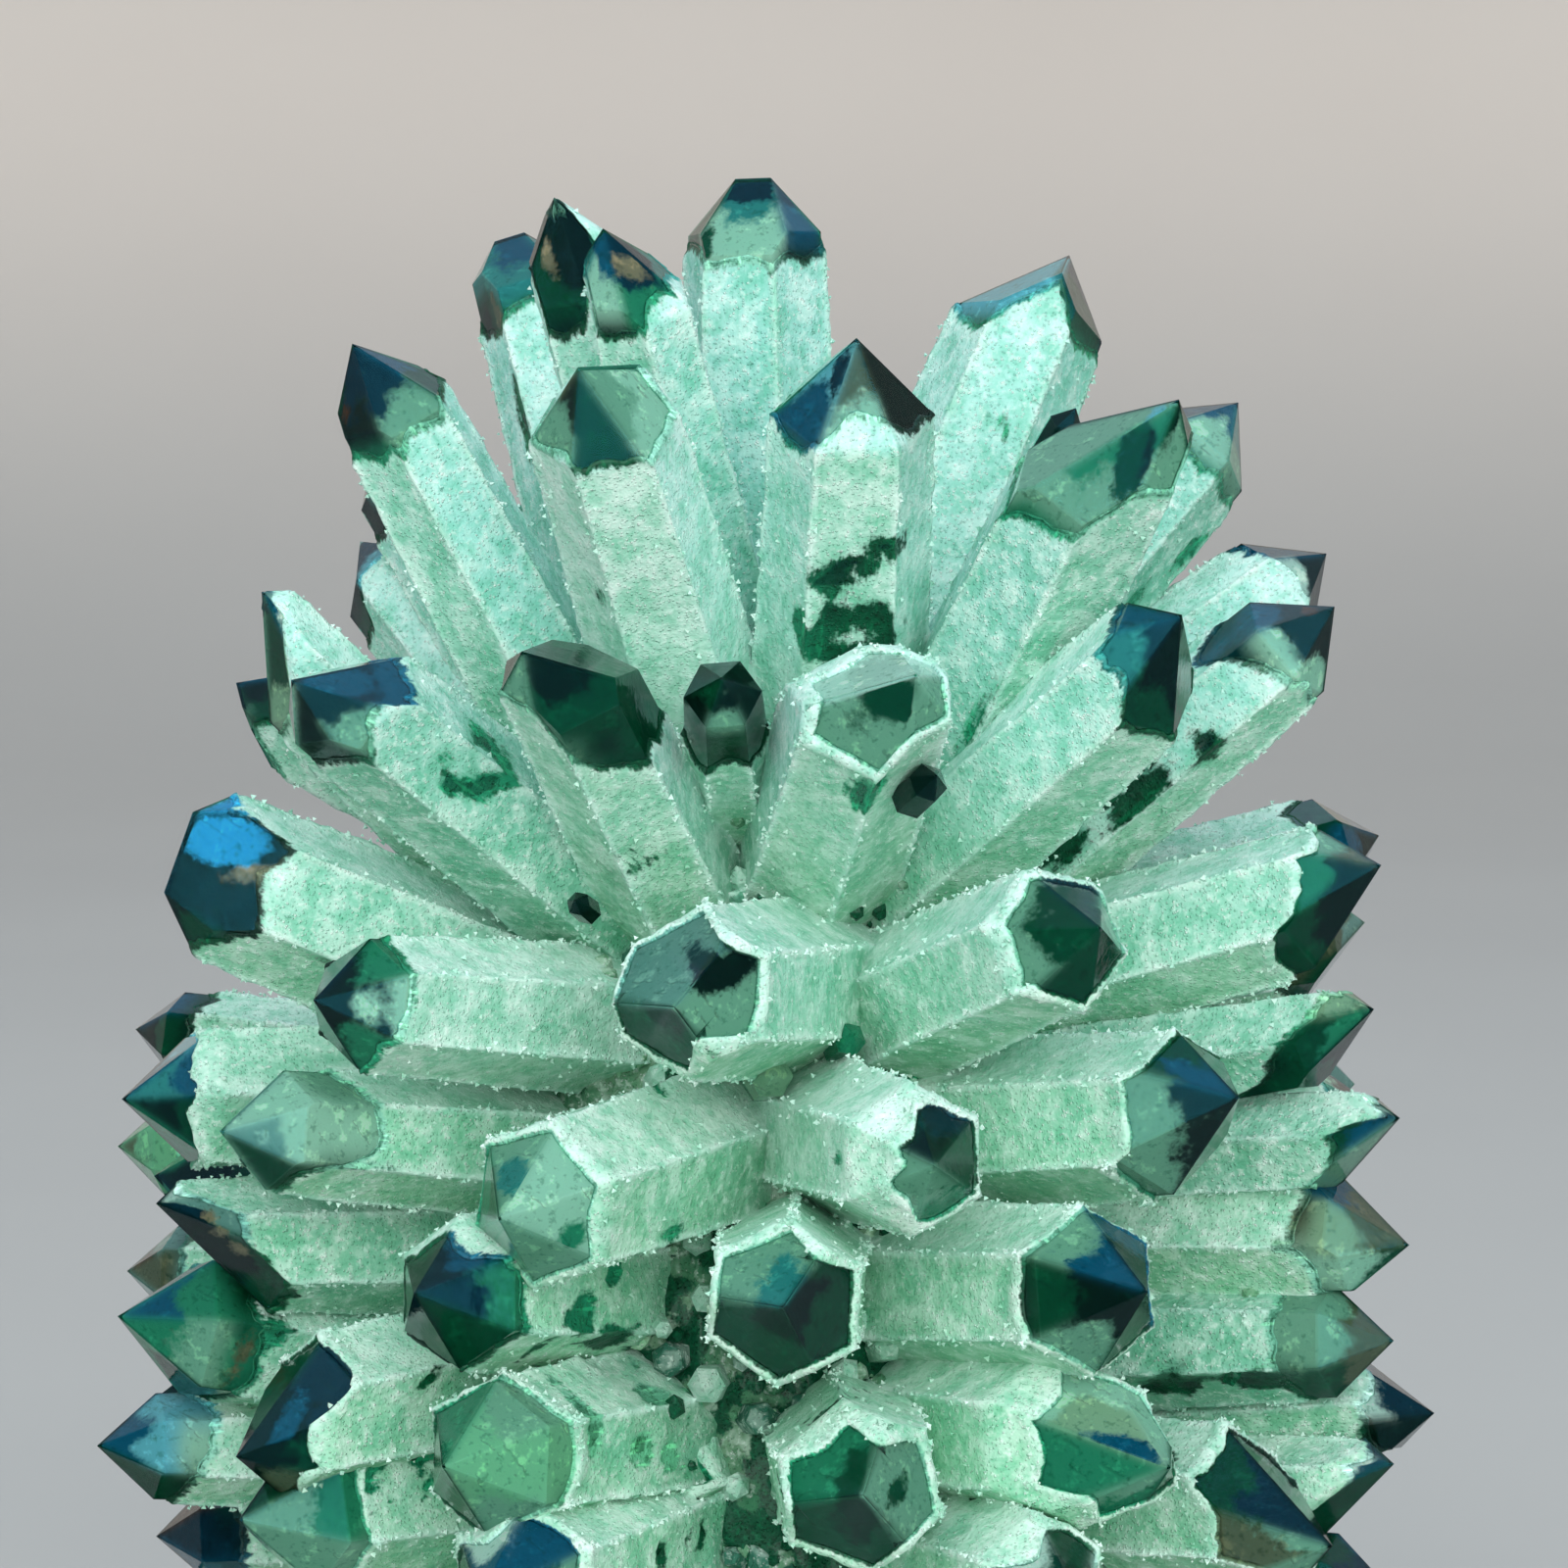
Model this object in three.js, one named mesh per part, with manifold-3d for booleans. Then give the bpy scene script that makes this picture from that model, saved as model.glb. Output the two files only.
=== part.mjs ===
/*
 * Green phantom quartz cluster: about 140 long six-sided crystals that fan out from one knobbly heart, all
 * grown together in a single stone that is sawn off flat where it left its rock.
 *
 * Millimetres, +Z up. The origin is the middle of the sawn face, -Y is the side that shows in the
 * photograph and +X is its right-hand side.
 */
import * as THREE from "three";
import { ConvexGeometry } from "three/addons/geometries/ConvexGeometry.js";
import { mergeVertices } from "three/addons/utils/BufferGeometryUtils.js";
import Module from "manifold-3d";

const wasm = await Module();
wasm.setup();

// quartz habit: the slope of the six end faces against the crystal's cross-section, the slight
// narrowing of the prism towards its end, and the smallest difference that separates two corners
const END_SLOPE = THREE.MathUtils.degToRad(51.8);
const PRISM_TAPER = THREE.MathUtils.degToRad(1.4);
const SAME_POINT = 1e-3;

// the heart, as [radius, height] from the sawn face up, with the depth and number of its swellings
const HEART_PROFILE = [
  [0, 0], [46, 0], [50, 10], [47, 32], [43, 60], [41, 90], [36, 116], [27, 136], [14, 148], [0, 152],
];
const HEART_SIDES = 16;
const HEART_SWELL = 0.04;
const HEART_SWELLS_ROUND = 5;
const HEART_SWELLS_UP = 3;

// crystals that show in the photograph: name, root x and z (every root is at y = 0), tip x, y and z,
// width across flats, roll in degrees, how far the end is off the axis sideways and upwards in half
// widths, and how far each of the six end faces stands out past the tip in tenths of a half width
const CRYSTALS = [
  ["T1", 1, 118.5, -1.5, 4.5, 231, 16.5, 46, 0, 0, "022022"],
  ["T2a", -0.5, 138, -26.5, -28.5, 228, 11, 345, -0.5, 0.5, "000000"],
  ["T2b", 2, 138, -20, -39, 224, 11.5, 330, -0.5, 0.1, "000000"],
  ["T2c", -9, 137, -35, 31, 223.5, 14.5, 45, 0.1, -0.15, "022022"],
  ["T3", -4, 117, -52.5, -24, 209.5, 13.5, 355, -0.3, 0, "000000"],
  ["T4", -2, 134, -22.5, -57, 207, 16, 295, -0.1, -0.05, "007000"],
  ["T5", 8, 125, 11.5, -51.5, 210.5, 17.5, 270, 0, 0, "000000"],
  ["T6", 2, 133.5, 41.5, 27.5, 221, 18, 145, -0.1, -0.1, "700000"],
  ["T7", 7, 117.5, 51, -53.5, 203, 17.5, 200, 0.5, -0.3, "000000"],
  ["T8", 2.5, 132.5, 64.5, 25, 201, 15, 160, 0, 0, "000000"],
  ["T9", 1.5, 127, 76.5, 23, 180.5, 14.5, 165, 0, 0, "000000"],
  ["T10", 1.5, 112, 73, -25.5, 176, 13.5, 185, 0, 0, "000000"],
  ["T11", 1.5, 123.5, 51, -61, 177, 15, 195, -0.15, 0.3, "000000"],
  ["T12", 2.5, 127, 18.5, -72, 170.5, 17.5, 240, 0.45, -0.25, "000006"],
  ["T13", -2.5, 117, -29, -68, 173, 14.5, 305, -0.4, -0.3, "060000"],
  ["T14", -1.5, 119.5, -57.5, -60, 169, 15, 340, -0.1, -0.3, "000000"],
  ["T15", 0, 107.5, -64, -27.5, 178, 12.5, 350, 0.15, 0.7, "000000"],
  ["T16", -1.5, 118.5, -57, 48.5, 181, 14, 35, 0, 0, "000000"],
  ["T17", -2, 118.5, -55, 41.5, 191.5, 13, 35, 0.2, -0.4, "000000"],
  ["T18", 0, 109, -74, -36, 145.5, 18.5, 5, 0, 0.1, "044044"],
  ["T19", 1.5, 118, -54.5, -67, 130.5, 14.5, 0, 0, 0, "000000"],
  ["T20", 15.5, 124.5, -10.5, -81.5, 131.5, 18, 0, 0.1, -0.15, "030404"],
  ["T21", 1.5, 113.5, 40.5, -76.5, 140.5, 15.5, 195, 0.15, -0.1, "000000"],
  ["T22", 1.5, 116, 78, -37.5, 144, 15.5, 170, 0, 0.25, "000000"],
  ["T23", 1.5, 120.5, 85, 32.5, 141, 12.5, 170, 0, -0.1, "000000"],
  ["T24", 1.5, 105, 77, -40, 126, 11.5, 205, 0, 0.5, "000000"],
  ["T25", 1.5, 119.5, 83.5, 36, 128.5, 14, 170, 0.1, 0.5, "000000"],
  ["T26", -1.5, 104, 58, -66, 118.5, 17.5, 0, 0, 0.2, "000000"],
  ["T27", 1.5, 100, 80.5, -39, 112, 11.5, 195, 0.05, 0.5, "000000"],
  ["T28", 1.5, 112, 82.5, 38, 105.5, 12.5, 175, 0, 0, "000000"],
  ["T29", 1.5, 92, 82, -37.5, 95.5, 14, 155, -0.05, -0.2, "000000"],
  ["T30", 1.5, 75.5, 80, -39, 83.5, 13, 170, 0, 0, "000000"],
  ["T31", -5.5, 84, 46.5, -74, 96, 17.5, 0, 0, 0, "000000"],
  ["T32", -2, 107.5, 20.5, -85, 113, 16, 0, 0, 0, "000000"],
  ["T33", 11.5, 108.5, -31.5, -81, 106, 18, 350, 0, 0, "000000"],
  ["T34", 1.5, 99.5, -67, -57, 113, 13.5, 5, 0, -0.1, "000000"],
  ["T35", 0, 110, -81.5, -36, 114, 16.5, 40, 0, 0, "000000"],
  ["T36", 0, 106.5, -87, 28.5, 114.5, 11, 10, 0, 0, "000000"],
  ["T37", 1.5, 90.5, -77, -38.5, 101, 14.5, 5, -0.1, 0.75, "000000"],
  ["T38", 0, 68, -83, -30, 85, 17, 345, 0, 0, "000000"],
  ["T39", 1.5, 83.5, -42, -75.5, 96, 16.5, 5, 0, 0, "000000"],
  ["T40", 4.5, 88.5, 2.5, -87.5, 96.5, 17, 355, 0, 0, "030404"],
  ["T41", -1.5, 68.5, 49.5, -72, 74, 18, 0, 0.6, -0.3, "000000"],
  ["T42", 1.5, 79.5, -65, -60.5, 73, 17, 0, 0.1, -0.35, "000000"],
  ["T43", 9, 68, -38.5, -78.5, 75.5, 17, 0, 0, 0, "000000"],
  ["T44", 9, 65.5, 12, -85.5, 73.5, 18, 10, 0, 0, "030404"],
  ["T45", 1.5, 62.5, 86.5, -28, 72, 13, 200, -0.05, -0.3, "000000"],
  ["T46", 1.5, 54, 80.5, -36, 67, 12.5, 170, 0.1, 0.6, "000000"],
  ["T47", 2.5, 58.5, 70.5, -59, 61.5, 17, 0, 0, -0.5, "000000"],
  ["T48", 0, 61.5, -86.5, -24.5, 67, 12.5, 10, 0, 0, "000000"],
  ["T49", 0, 53.5, -83, 12, 47, 13, 10, 0, 0, "000000"],
  ["T50", 1.5, 61.5, -65, -58, 64.5, 17, 15, 0, 0, "000000"],
  ["T51", 5, 58.5, -34, -81, 59.5, 18, 0, 0, 0, "000000"],
  ["T52", -1.5, 53.5, 38.5, -78.5, 58.5, 17, 0, 0, 0, "000000"],
  ["T53", 1.5, 46.5, 81, -37.5, 50, 14, 165, 0, 0, "000000"],
  ["T54", 0, 100, -89, 23, 99, 12, 10, 0, 0, "000000"],
  ["T55", 0, 81.5, -88, 24, 81.5, 12, 10, 0, 0, "000000"],
  ["S3", -3.5, 138, -5, -62.5, 169.5, 9, 275, 0, 0, "000000"],
];

// crystals of the hidden back and foot, in rings: root height, elevation, reach, first and last
// azimuth (0 faces the viewer, 90 is +X, 180 is the back) and number of crystals
const RINGS = [
  [132, 70, 90, 176, 176, 1],
  [130, 54, 90, 150, 190, 2],
  [124, 40, 90, 138, 208, 4],
  [118, 27, 90, 132, 222, 5],
  [110, 15, 90, 126, 234, 6],
  [102, 4, 90, 137, 223, 5],
  [84, 3, 90, 126, 234, 6],
  [66, 1, 90, 137, 223, 5],
  [52, -3, 90, 126, 234, 6],
  [38, -4, 88, 6, 340, 14],
  [22, -6, 84, 18, 352, 14],
  [130, 30, 82, 88, 88, 1],
  [116, 15, 80, 92, 92, 1],
  [100, 6, 80, 84, 100, 2],
  [84, 4, 80, 74, 92, 2],
  [62, 2, 80, 78, 100, 2],
  [128, 26, 82, 266, 266, 1],
  [92, 3, 80, 274, 274, 1],
  [70, 2, 80, 252, 276, 2],
];
const RING_WIDTH = 16;
const RING_WIDTH_SPREAD = 2;
const RING_REACH_SPREAD = 3;
const RING_TURN_SPREAD = 3;
const RING_LEAN = 0.35;
const RING_TRIM = 3;

// short crystals that crust the heart between the long ones, in a sunflower spiral
const CRUST_COUNT = 40;
const CRUST_FOOT = 26;
const CRUST_TOP = 150;
const CRUST_WIDTH = 9;
const CRUST_WIDTH_SPREAD = 2;
const CRUST_REACH = 8;
const CRUST_DEPTH = 14;
const GOLDEN_ANGLE = Math.PI * (3 - Math.sqrt(5));

const MILKY_GREEN = 0xa9bfae;

// repeatable scatter between -1 and 1
function scatter(seed) {
  const wave = Math.sin(seed * 12.9898) * 43758.5453;
  return 2 * (wave - Math.floor(wave)) - 1;
}

// the unit vector at an azimuth and an elevation, both in degrees
function heading(azimuth, elevation) {
  const a = THREE.MathUtils.degToRad(azimuth);
  const e = THREE.MathUtils.degToRad(elevation);
  return new THREE.Vector3(Math.sin(a) * Math.cos(e), -Math.cos(a) * Math.cos(e), Math.sin(e));
}

// two unit vectors across an axis: one level, one pointing upwards
function across(axis) {
  const side = new THREE.Vector3(-axis.y, axis.x, 0).normalize();
  const up = new THREE.Vector3().crossVectors(axis, side).normalize();
  return { side, up };
}

// the point that three planes share, or null where they don't meet in one
function meeting(a, b, c) {
  const bc = new THREE.Vector3().crossVectors(b.normal, c.normal);
  const ca = new THREE.Vector3().crossVectors(c.normal, a.normal);
  const ab = new THREE.Vector3().crossVectors(a.normal, b.normal);
  const size = a.normal.dot(bc);
  if (Math.abs(size) < 1e-6) {
    return null;
  }
  return bc.multiplyScalar(-a.constant)
    .addScaledVector(ca, -b.constant)
    .addScaledVector(ab, -c.constant)
    .divideScalar(size);
}

// the corners of the convex body behind all the planes
function cornersBehind(planes) {
  const corners = [];
  for (let i = 0; i < planes.length; i += 1) {
    for (let j = i + 1; j < planes.length; j += 1) {
      for (let k = j + 1; k < planes.length; k += 1) {
        const point = meeting(planes[i], planes[j], planes[k]);
        const inside = point && planes.every((plane) => plane.distanceToPoint(point) < SAME_POINT);
        if (inside && !corners.some((corner) => corner.distanceTo(point) < SAME_POINT)) {
          corners.push(point);
        }
      }
    }
  }
  return corners;
}

// one crystal: a six-sided prism that ends in six faces, cut square at its root
function crystalGeometry({ root, tip, width, roll, leanSide, leanUp, trims }) {
  const half = width / 2;
  const first = across(tip.clone().sub(root));
  const axisEnd = tip.clone()
    .addScaledVector(first.side, -leanSide * half)
    .addScaledVector(first.up, -leanUp * half);
  const along = axisEnd.clone().sub(root).normalize();
  const { side, up } = across(along);
  const shoulder = axisEnd.clone().addScaledVector(along, -half * Math.tan(END_SLOPE));

  const facing = (outward, slope, point) => {
    const normal = outward.clone().multiplyScalar(Math.cos(slope)).addScaledVector(along, Math.sin(slope));
    return new THREE.Plane().setFromNormalAndCoplanarPoint(normal, point);
  };
  const planes = [new THREE.Plane().setFromNormalAndCoplanarPoint(along.clone().negate(), root)];
  for (let face = 0; face < 6; face += 1) {
    const turn = THREE.MathUtils.degToRad(roll + 60 * face);
    const outward = side.clone().multiplyScalar(Math.cos(turn)).addScaledVector(up, Math.sin(turn));
    planes.push(facing(outward, PRISM_TAPER, shoulder.clone().addScaledVector(outward, half)));
    const end = facing(outward, Math.PI / 2 - END_SLOPE, tip);
    end.constant -= (Number(trims[face]) / 10) * half;
    planes.push(end);
  }
  return new ConvexGeometry(cornersBehind(planes));
}

// the crystals of the table that show in the photograph
function frontCrystals() {
  return CRYSTALS.map(([, rootX, rootZ, tipX, tipY, tipZ, width, roll, leanSide, leanUp, trims]) => ({
    root: new THREE.Vector3(rootX, 0, rootZ),
    tip: new THREE.Vector3(tipX, tipY, tipZ),
    width, roll, leanSide, leanUp, trims,
  }));
}

// the crystals of the rings, each a little different from its neighbours
function ringCrystals() {
  const crystals = [];
  RINGS.forEach(([height, elevation, reach, first, last, count], ring) => {
    for (let n = 0; n < count; n += 1) {
      const seed = 20 * ring + n + 1;
      const azimuth = first + (count > 1 ? ((last - first) * n) / (count - 1) : 0);
      const root = new THREE.Vector3(0, 0, height);
      const direction = heading(
        azimuth + RING_TURN_SPREAD * scatter(seed),
        elevation + RING_TURN_SPREAD * scatter(seed + 0.1),
      );
      const tip = root.clone().addScaledVector(direction, reach + RING_REACH_SPREAD * scatter(seed + 0.2));
      const trim = () => Math.round(RING_TRIM * (1 + scatter(seed + 0.3)));
      crystals.push({
        root, tip,
        width: RING_WIDTH + RING_WIDTH_SPREAD * scatter(seed + 0.4),
        roll: 180 * scatter(seed + 0.5),
        leanSide: RING_LEAN * scatter(seed + 0.6),
        leanUp: RING_LEAN * scatter(seed + 0.7),
        trims: [0, trim(), 0, 0, trim(), 0],
      });
    }
  });
  return crystals;
}

// how far the heart reaches out at a height
function heartRadius(height) {
  for (let n = 1; n < HEART_PROFILE.length; n += 1) {
    const [r0, z0] = HEART_PROFILE[n - 1];
    const [r1, z1] = HEART_PROFILE[n];
    if (z1 > z0 && height <= z1) {
      return THREE.MathUtils.mapLinear(height, z0, z1, r0, r1);
    }
  }
  return 0;
}

// the short crystals of the crust, square to the heart's surface
function crustCrystals() {
  return Array.from({ length: CRUST_COUNT }, (_, n) => {
    const height = THREE.MathUtils.mapLinear(n, 0, CRUST_COUNT - 1, CRUST_FOOT, CRUST_TOP);
    const radius = heartRadius(height);
    const azimuth = THREE.MathUtils.radToDeg(n * GOLDEN_ANGLE);
    const elevation = THREE.MathUtils.radToDeg(
      Math.atan2(heartRadius(height - 1) - heartRadius(height + 1), 2),
    );
    const foot = heading(azimuth, 0).multiplyScalar(radius);
    foot.z = height;
    const direction = heading(azimuth + 12 * scatter(n + 0.1), elevation + 12 * scatter(n + 0.2));
    return {
      root: foot.clone().addScaledVector(direction, -CRUST_DEPTH),
      tip: foot.clone().addScaledVector(direction, CRUST_REACH + 2 * scatter(n + 0.3)),
      width: CRUST_WIDTH + CRUST_WIDTH_SPREAD * scatter(n + 0.4),
      roll: 180 * scatter(n + 0.5),
      leanSide: 0,
      leanUp: 0,
      trims: [0, 4, 0, 0, 4, 0],
    };
  });
}

// the heart, turned from its profile and swollen in places; its sawn face stays flat
function heartGeometry() {
  const profile = HEART_PROFILE.map(([radius, height]) => new THREE.Vector2(radius, height));
  const heart = new THREE.LatheGeometry(profile, HEART_SIDES).rotateX(Math.PI / 2);
  const place = heart.getAttribute("position");
  const top = HEART_PROFILE.at(-1)[1];
  for (let n = 0; n < place.count; n += 1) {
    const angle = Math.atan2(place.getY(n), place.getX(n));
    const height = place.getZ(n) / top;
    const swell = 1 + HEART_SWELL * Math.sin(
      HEART_SWELLS_ROUND * angle + 2 * Math.PI * HEART_SWELLS_UP * height,
    ) * Math.sin(Math.PI * height);
    place.setXY(n, place.getX(n) * swell, place.getY(n) * swell);
  }
  return heart;
}

// a closed geometry as a solid that can be joined and cut
function solidOf(geometry) {
  const bare = geometry.clone();
  bare.deleteAttribute("normal");
  bare.deleteAttribute("uv");
  const merged = mergeVertices(bare, SAME_POINT);
  const corners = merged.getIndex().array;
  const kept = [];
  for (let n = 0; n < corners.length; n += 3) {
    const [a, b, c] = corners.slice(n, n + 3);
    if (a !== b && b !== c && c !== a) {
      kept.push(a, b, c);
    }
  }
  return new wasm.Manifold(new wasm.Mesh({
    numProp: 3,
    vertProperties: new Float32Array(merged.getAttribute("position").array),
    triVerts: new Uint32Array(kept),
  }));
}

// a joined solid back as a geometry
function geometryOf(solid) {
  const mesh = solid.getMesh();
  const geometry = new THREE.BufferGeometry();
  geometry.setAttribute("position", new THREE.BufferAttribute(mesh.vertProperties, 3));
  geometry.setIndex(new THREE.BufferAttribute(mesh.triVerts, 1));
  geometry.computeVertexNormals();
  return geometry;
}

function crystalCluster() {
  const crystals = [...frontCrystals(), ...ringCrystals(), ...crustCrystals()];
  const solid = crystals.reduce(
    (joined, crystal) => joined.add(solidOf(crystalGeometry(crystal))),
    solidOf(heartGeometry()),
  );
  const quartz = new THREE.MeshStandardMaterial({ color: MILKY_GREEN, roughness: 0.35, metalness: 0 });
  const mesh = new THREE.Mesh(geometryOf(solid), quartz);
  mesh.name = "crystal_cluster";
  return mesh;
}

const cluster = new THREE.Group();
cluster.add(crystalCluster());

export default cluster;
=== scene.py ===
"""Green phantom quartz cluster: frosted, milky six-sided crystals with clear, dark green ends that carry
blue painted reflections of the sky.

Every crystal is three things in one place: a clear end of solid quartz, an opaque phantom that shows inside
it, and a sheath of sugary frost over the rest. Tables are in millimetres, meshes in metres.
"""
import copy
import math
from itertools import combinations

import bpy
import numpy as np
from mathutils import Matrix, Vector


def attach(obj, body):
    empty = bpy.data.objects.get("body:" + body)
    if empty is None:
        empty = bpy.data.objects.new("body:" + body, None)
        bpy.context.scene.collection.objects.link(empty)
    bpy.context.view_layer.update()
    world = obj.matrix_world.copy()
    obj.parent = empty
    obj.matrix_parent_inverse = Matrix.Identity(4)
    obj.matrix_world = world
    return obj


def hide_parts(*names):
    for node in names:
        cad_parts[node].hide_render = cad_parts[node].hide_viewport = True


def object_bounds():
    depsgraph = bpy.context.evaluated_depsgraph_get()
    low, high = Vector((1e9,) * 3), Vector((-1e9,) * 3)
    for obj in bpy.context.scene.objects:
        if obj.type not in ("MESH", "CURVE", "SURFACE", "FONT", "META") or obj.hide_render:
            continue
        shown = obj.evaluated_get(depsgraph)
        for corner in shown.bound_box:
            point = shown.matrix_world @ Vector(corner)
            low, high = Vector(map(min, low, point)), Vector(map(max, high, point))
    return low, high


bl_info = {
    "name": "Phantom Quartz Cluster",
    "version": (1, 0, 0),
    "blender": (4, 5, 0),
    "location": "3D View > Sidebar > Quartz",
    "description": "Builds a green phantom quartz cluster with frosted crystals and clear, coloured ends",
    "category": "Add Mesh",
}

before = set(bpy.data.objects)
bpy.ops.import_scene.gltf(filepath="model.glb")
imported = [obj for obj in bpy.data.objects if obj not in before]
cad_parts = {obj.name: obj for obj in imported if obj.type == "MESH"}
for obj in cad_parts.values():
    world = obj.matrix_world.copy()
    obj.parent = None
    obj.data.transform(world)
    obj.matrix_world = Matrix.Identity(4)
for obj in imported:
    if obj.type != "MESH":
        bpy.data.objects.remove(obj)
CAD_BOX = [list(corner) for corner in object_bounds()]

NODE = "crystal_cluster"

MM = 0.001
SIDES = 6
GOLDEN_ANGLE = math.pi * (3 - math.sqrt(5))

# the slope of an end face from level, and how much a prism widens for each millimetre towards its root
END_SLOPE = math.radians(51.8)
END_SIN, END_COS = math.sin(END_SLOPE), math.cos(END_SLOPE)
TAPER_ANGLE = math.radians(1.4)
TAPER = math.tan(TAPER_ANGLE)

# crystals that show from the front: name, root x and z (roots are at y = 0), tip x, y and z, width across
# flats, roll in degrees, lean of the end sideways and upwards in half widths, and how far each end face
# stands out past the tip in tenths of a half width, where that or the lean isn't 0
CRYSTALS = [
    ("T1", 1, 118.5, -1.5, 4.5, 231, 16.5, 46, 0, 0, "022022"),
    ("T2a", -0.5, 138, -26.5, -28.5, 228, 11, 345, -0.5, 0.5),
    ("T2b", 2, 138, -20, -39, 224, 11.5, 330, -0.5, 0.1),
    ("T2c", -9, 137, -35, 31, 223.5, 14.5, 45, 0.1, -0.15, "022022"),
    ("T3", -4, 117, -52.5, -24, 209.5, 13.5, 355, -0.3, 0),
    ("T4", -2, 134, -22.5, -57, 207, 16, 295, -0.1, -0.05, "007000"),
    ("T5", 8, 125, 11.5, -51.5, 210.5, 17.5, 270),
    ("T6", 2, 133.5, 41.5, 27.5, 221, 18, 145, -0.1, -0.1, "700000"),
    ("T7", 7, 117.5, 51, -53.5, 203, 17.5, 200, 0.5, -0.3),
    ("T8", 2.5, 132.5, 64.5, 25, 201, 15, 160),
    ("T9", 1.5, 127, 76.5, 23, 180.5, 14.5, 165),
    ("T10", 1.5, 112, 73, -25.5, 176, 13.5, 185),
    ("T11", 1.5, 123.5, 51, -61, 177, 15, 195, -0.15, 0.3),
    ("T12", 2.5, 127, 18.5, -72, 170.5, 17.5, 240, 0.45, -0.25, "000006"),
    ("T13", -2.5, 117, -29, -68, 173, 14.5, 305, -0.4, -0.3, "060000"),
    ("T14", -1.5, 119.5, -57.5, -60, 169, 15, 340, -0.1, -0.3),
    ("T15", 0, 107.5, -64, -27.5, 178, 12.5, 350, 0.15, 0.7),
    ("T16", -1.5, 118.5, -57, 48.5, 181, 14, 35),
    ("T17", -2, 118.5, -55, 41.5, 191.5, 13, 35, 0.2, -0.4),
    ("T18", 0, 109, -74, -36, 145.5, 18.5, 5, 0, 0.1, "044044"),
    ("T19", 1.5, 118, -54.5, -67, 130.5, 14.5, 0),
    ("T20", 15.5, 124.5, -10.5, -81.5, 131.5, 18, 0, 0.1, -0.15, "030404"),
    ("T21", 1.5, 113.5, 40.5, -76.5, 140.5, 15.5, 195, 0.15, -0.1),
    ("T22", 1.5, 116, 78, -37.5, 144, 15.5, 170, 0, 0.25),
    ("T23", 1.5, 120.5, 85, 32.5, 141, 12.5, 170, 0, -0.1),
    ("T24", 1.5, 105, 77, -40, 126, 11.5, 205, 0, 0.5),
    ("T25", 1.5, 119.5, 83.5, 36, 128.5, 14, 170, 0.1, 0.5),
    ("T26", -1.5, 104, 58, -66, 118.5, 17.5, 0, 0, 0.2),
    ("T27", 1.5, 100, 80.5, -39, 112, 11.5, 195, 0.05, 0.5),
    ("T28", 1.5, 112, 82.5, 38, 105.5, 12.5, 175),
    ("T29", 1.5, 92, 82, -37.5, 95.5, 14, 155, -0.05, -0.2),
    ("T30", 1.5, 75.5, 80, -39, 83.5, 13, 170),
    ("T31", -5.5, 84, 46.5, -74, 96, 17.5, 0),
    ("T32", -2, 107.5, 20.5, -85, 113, 16, 0),
    ("T33", 11.5, 108.5, -31.5, -81, 106, 18, 350),
    ("T34", 1.5, 99.5, -67, -57, 113, 13.5, 5, 0, -0.1),
    ("T35", 0, 110, -81.5, -36, 114, 16.5, 40),
    ("T36", 0, 106.5, -87, 28.5, 114.5, 11, 10),
    ("T37", 1.5, 90.5, -77, -38.5, 101, 14.5, 5, -0.1, 0.75),
    ("T38", 0, 68, -83, -30, 85, 17, 345),
    ("T39", 1.5, 83.5, -42, -75.5, 96, 16.5, 5),
    ("T40", 4.5, 88.5, 2.5, -87.5, 96.5, 17, 355, 0, 0, "030404"),
    ("T41", -1.5, 68.5, 49.5, -72, 74, 18, 0, 0.6, -0.3),
    ("T42", 1.5, 79.5, -65, -60.5, 73, 17, 0, 0.1, -0.35),
    ("T43", 9, 68, -38.5, -78.5, 75.5, 17, 0),
    ("T44", 9, 65.5, 12, -85.5, 73.5, 18, 10, 0, 0, "030404"),
    ("T45", 1.5, 62.5, 86.5, -28, 72, 13, 200, -0.05, -0.3),
    ("T46", 1.5, 54, 80.5, -36, 67, 12.5, 170, 0.1, 0.6),
    ("T47", 2.5, 58.5, 70.5, -59, 61.5, 17, 0, 0, -0.5),
    ("T48", 0, 61.5, -86.5, -24.5, 67, 12.5, 10),
    ("T49", 0, 53.5, -83, 12, 47, 13, 10),
    ("T50", 1.5, 61.5, -65, -58, 64.5, 17, 15),
    ("T51", 5, 58.5, -34, -81, 59.5, 18, 0),
    ("T52", -1.5, 53.5, 38.5, -78.5, 58.5, 17, 0),
    ("T53", 1.5, 46.5, 81, -37.5, 50, 14, 165),
    ("T54", 0, 100, -89, 23, 99, 12, 10),
    ("T55", 0, 81.5, -88, 24, 81.5, 12, 10),
    ("S3", -3.5, 138, -5, -62.5, 169.5, 9, 275),
]

# crystals of the hidden back and foot, in rings: root height, elevation, reach, first and last azimuth
# (0 faces the viewer, 90 is +X, 180 is the back) and number of crystals
RINGS = [
    (132, 70, 90, 176, 176, 1),
    (130, 54, 90, 150, 190, 2),
    (124, 40, 90, 138, 208, 4),
    (118, 27, 90, 132, 222, 5),
    (110, 15, 90, 126, 234, 6),
    (102, 4, 90, 137, 223, 5),
    (84, 3, 90, 126, 234, 6),
    (66, 1, 90, 137, 223, 5),
    (52, -3, 90, 126, 234, 6),
    (38, -4, 88, 6, 340, 14),
    (22, -6, 84, 18, 352, 14),
    (130, 30, 82, 88, 88, 1),
    (116, 15, 80, 92, 92, 1),
    (100, 6, 80, 84, 100, 2),
    (84, 4, 80, 74, 92, 2),
    (62, 2, 80, 78, 100, 2),
    (128, 26, 82, 266, 266, 1),
    (92, 3, 80, 274, 274, 1),
    (70, 2, 80, 252, 276, 2),
]
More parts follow.
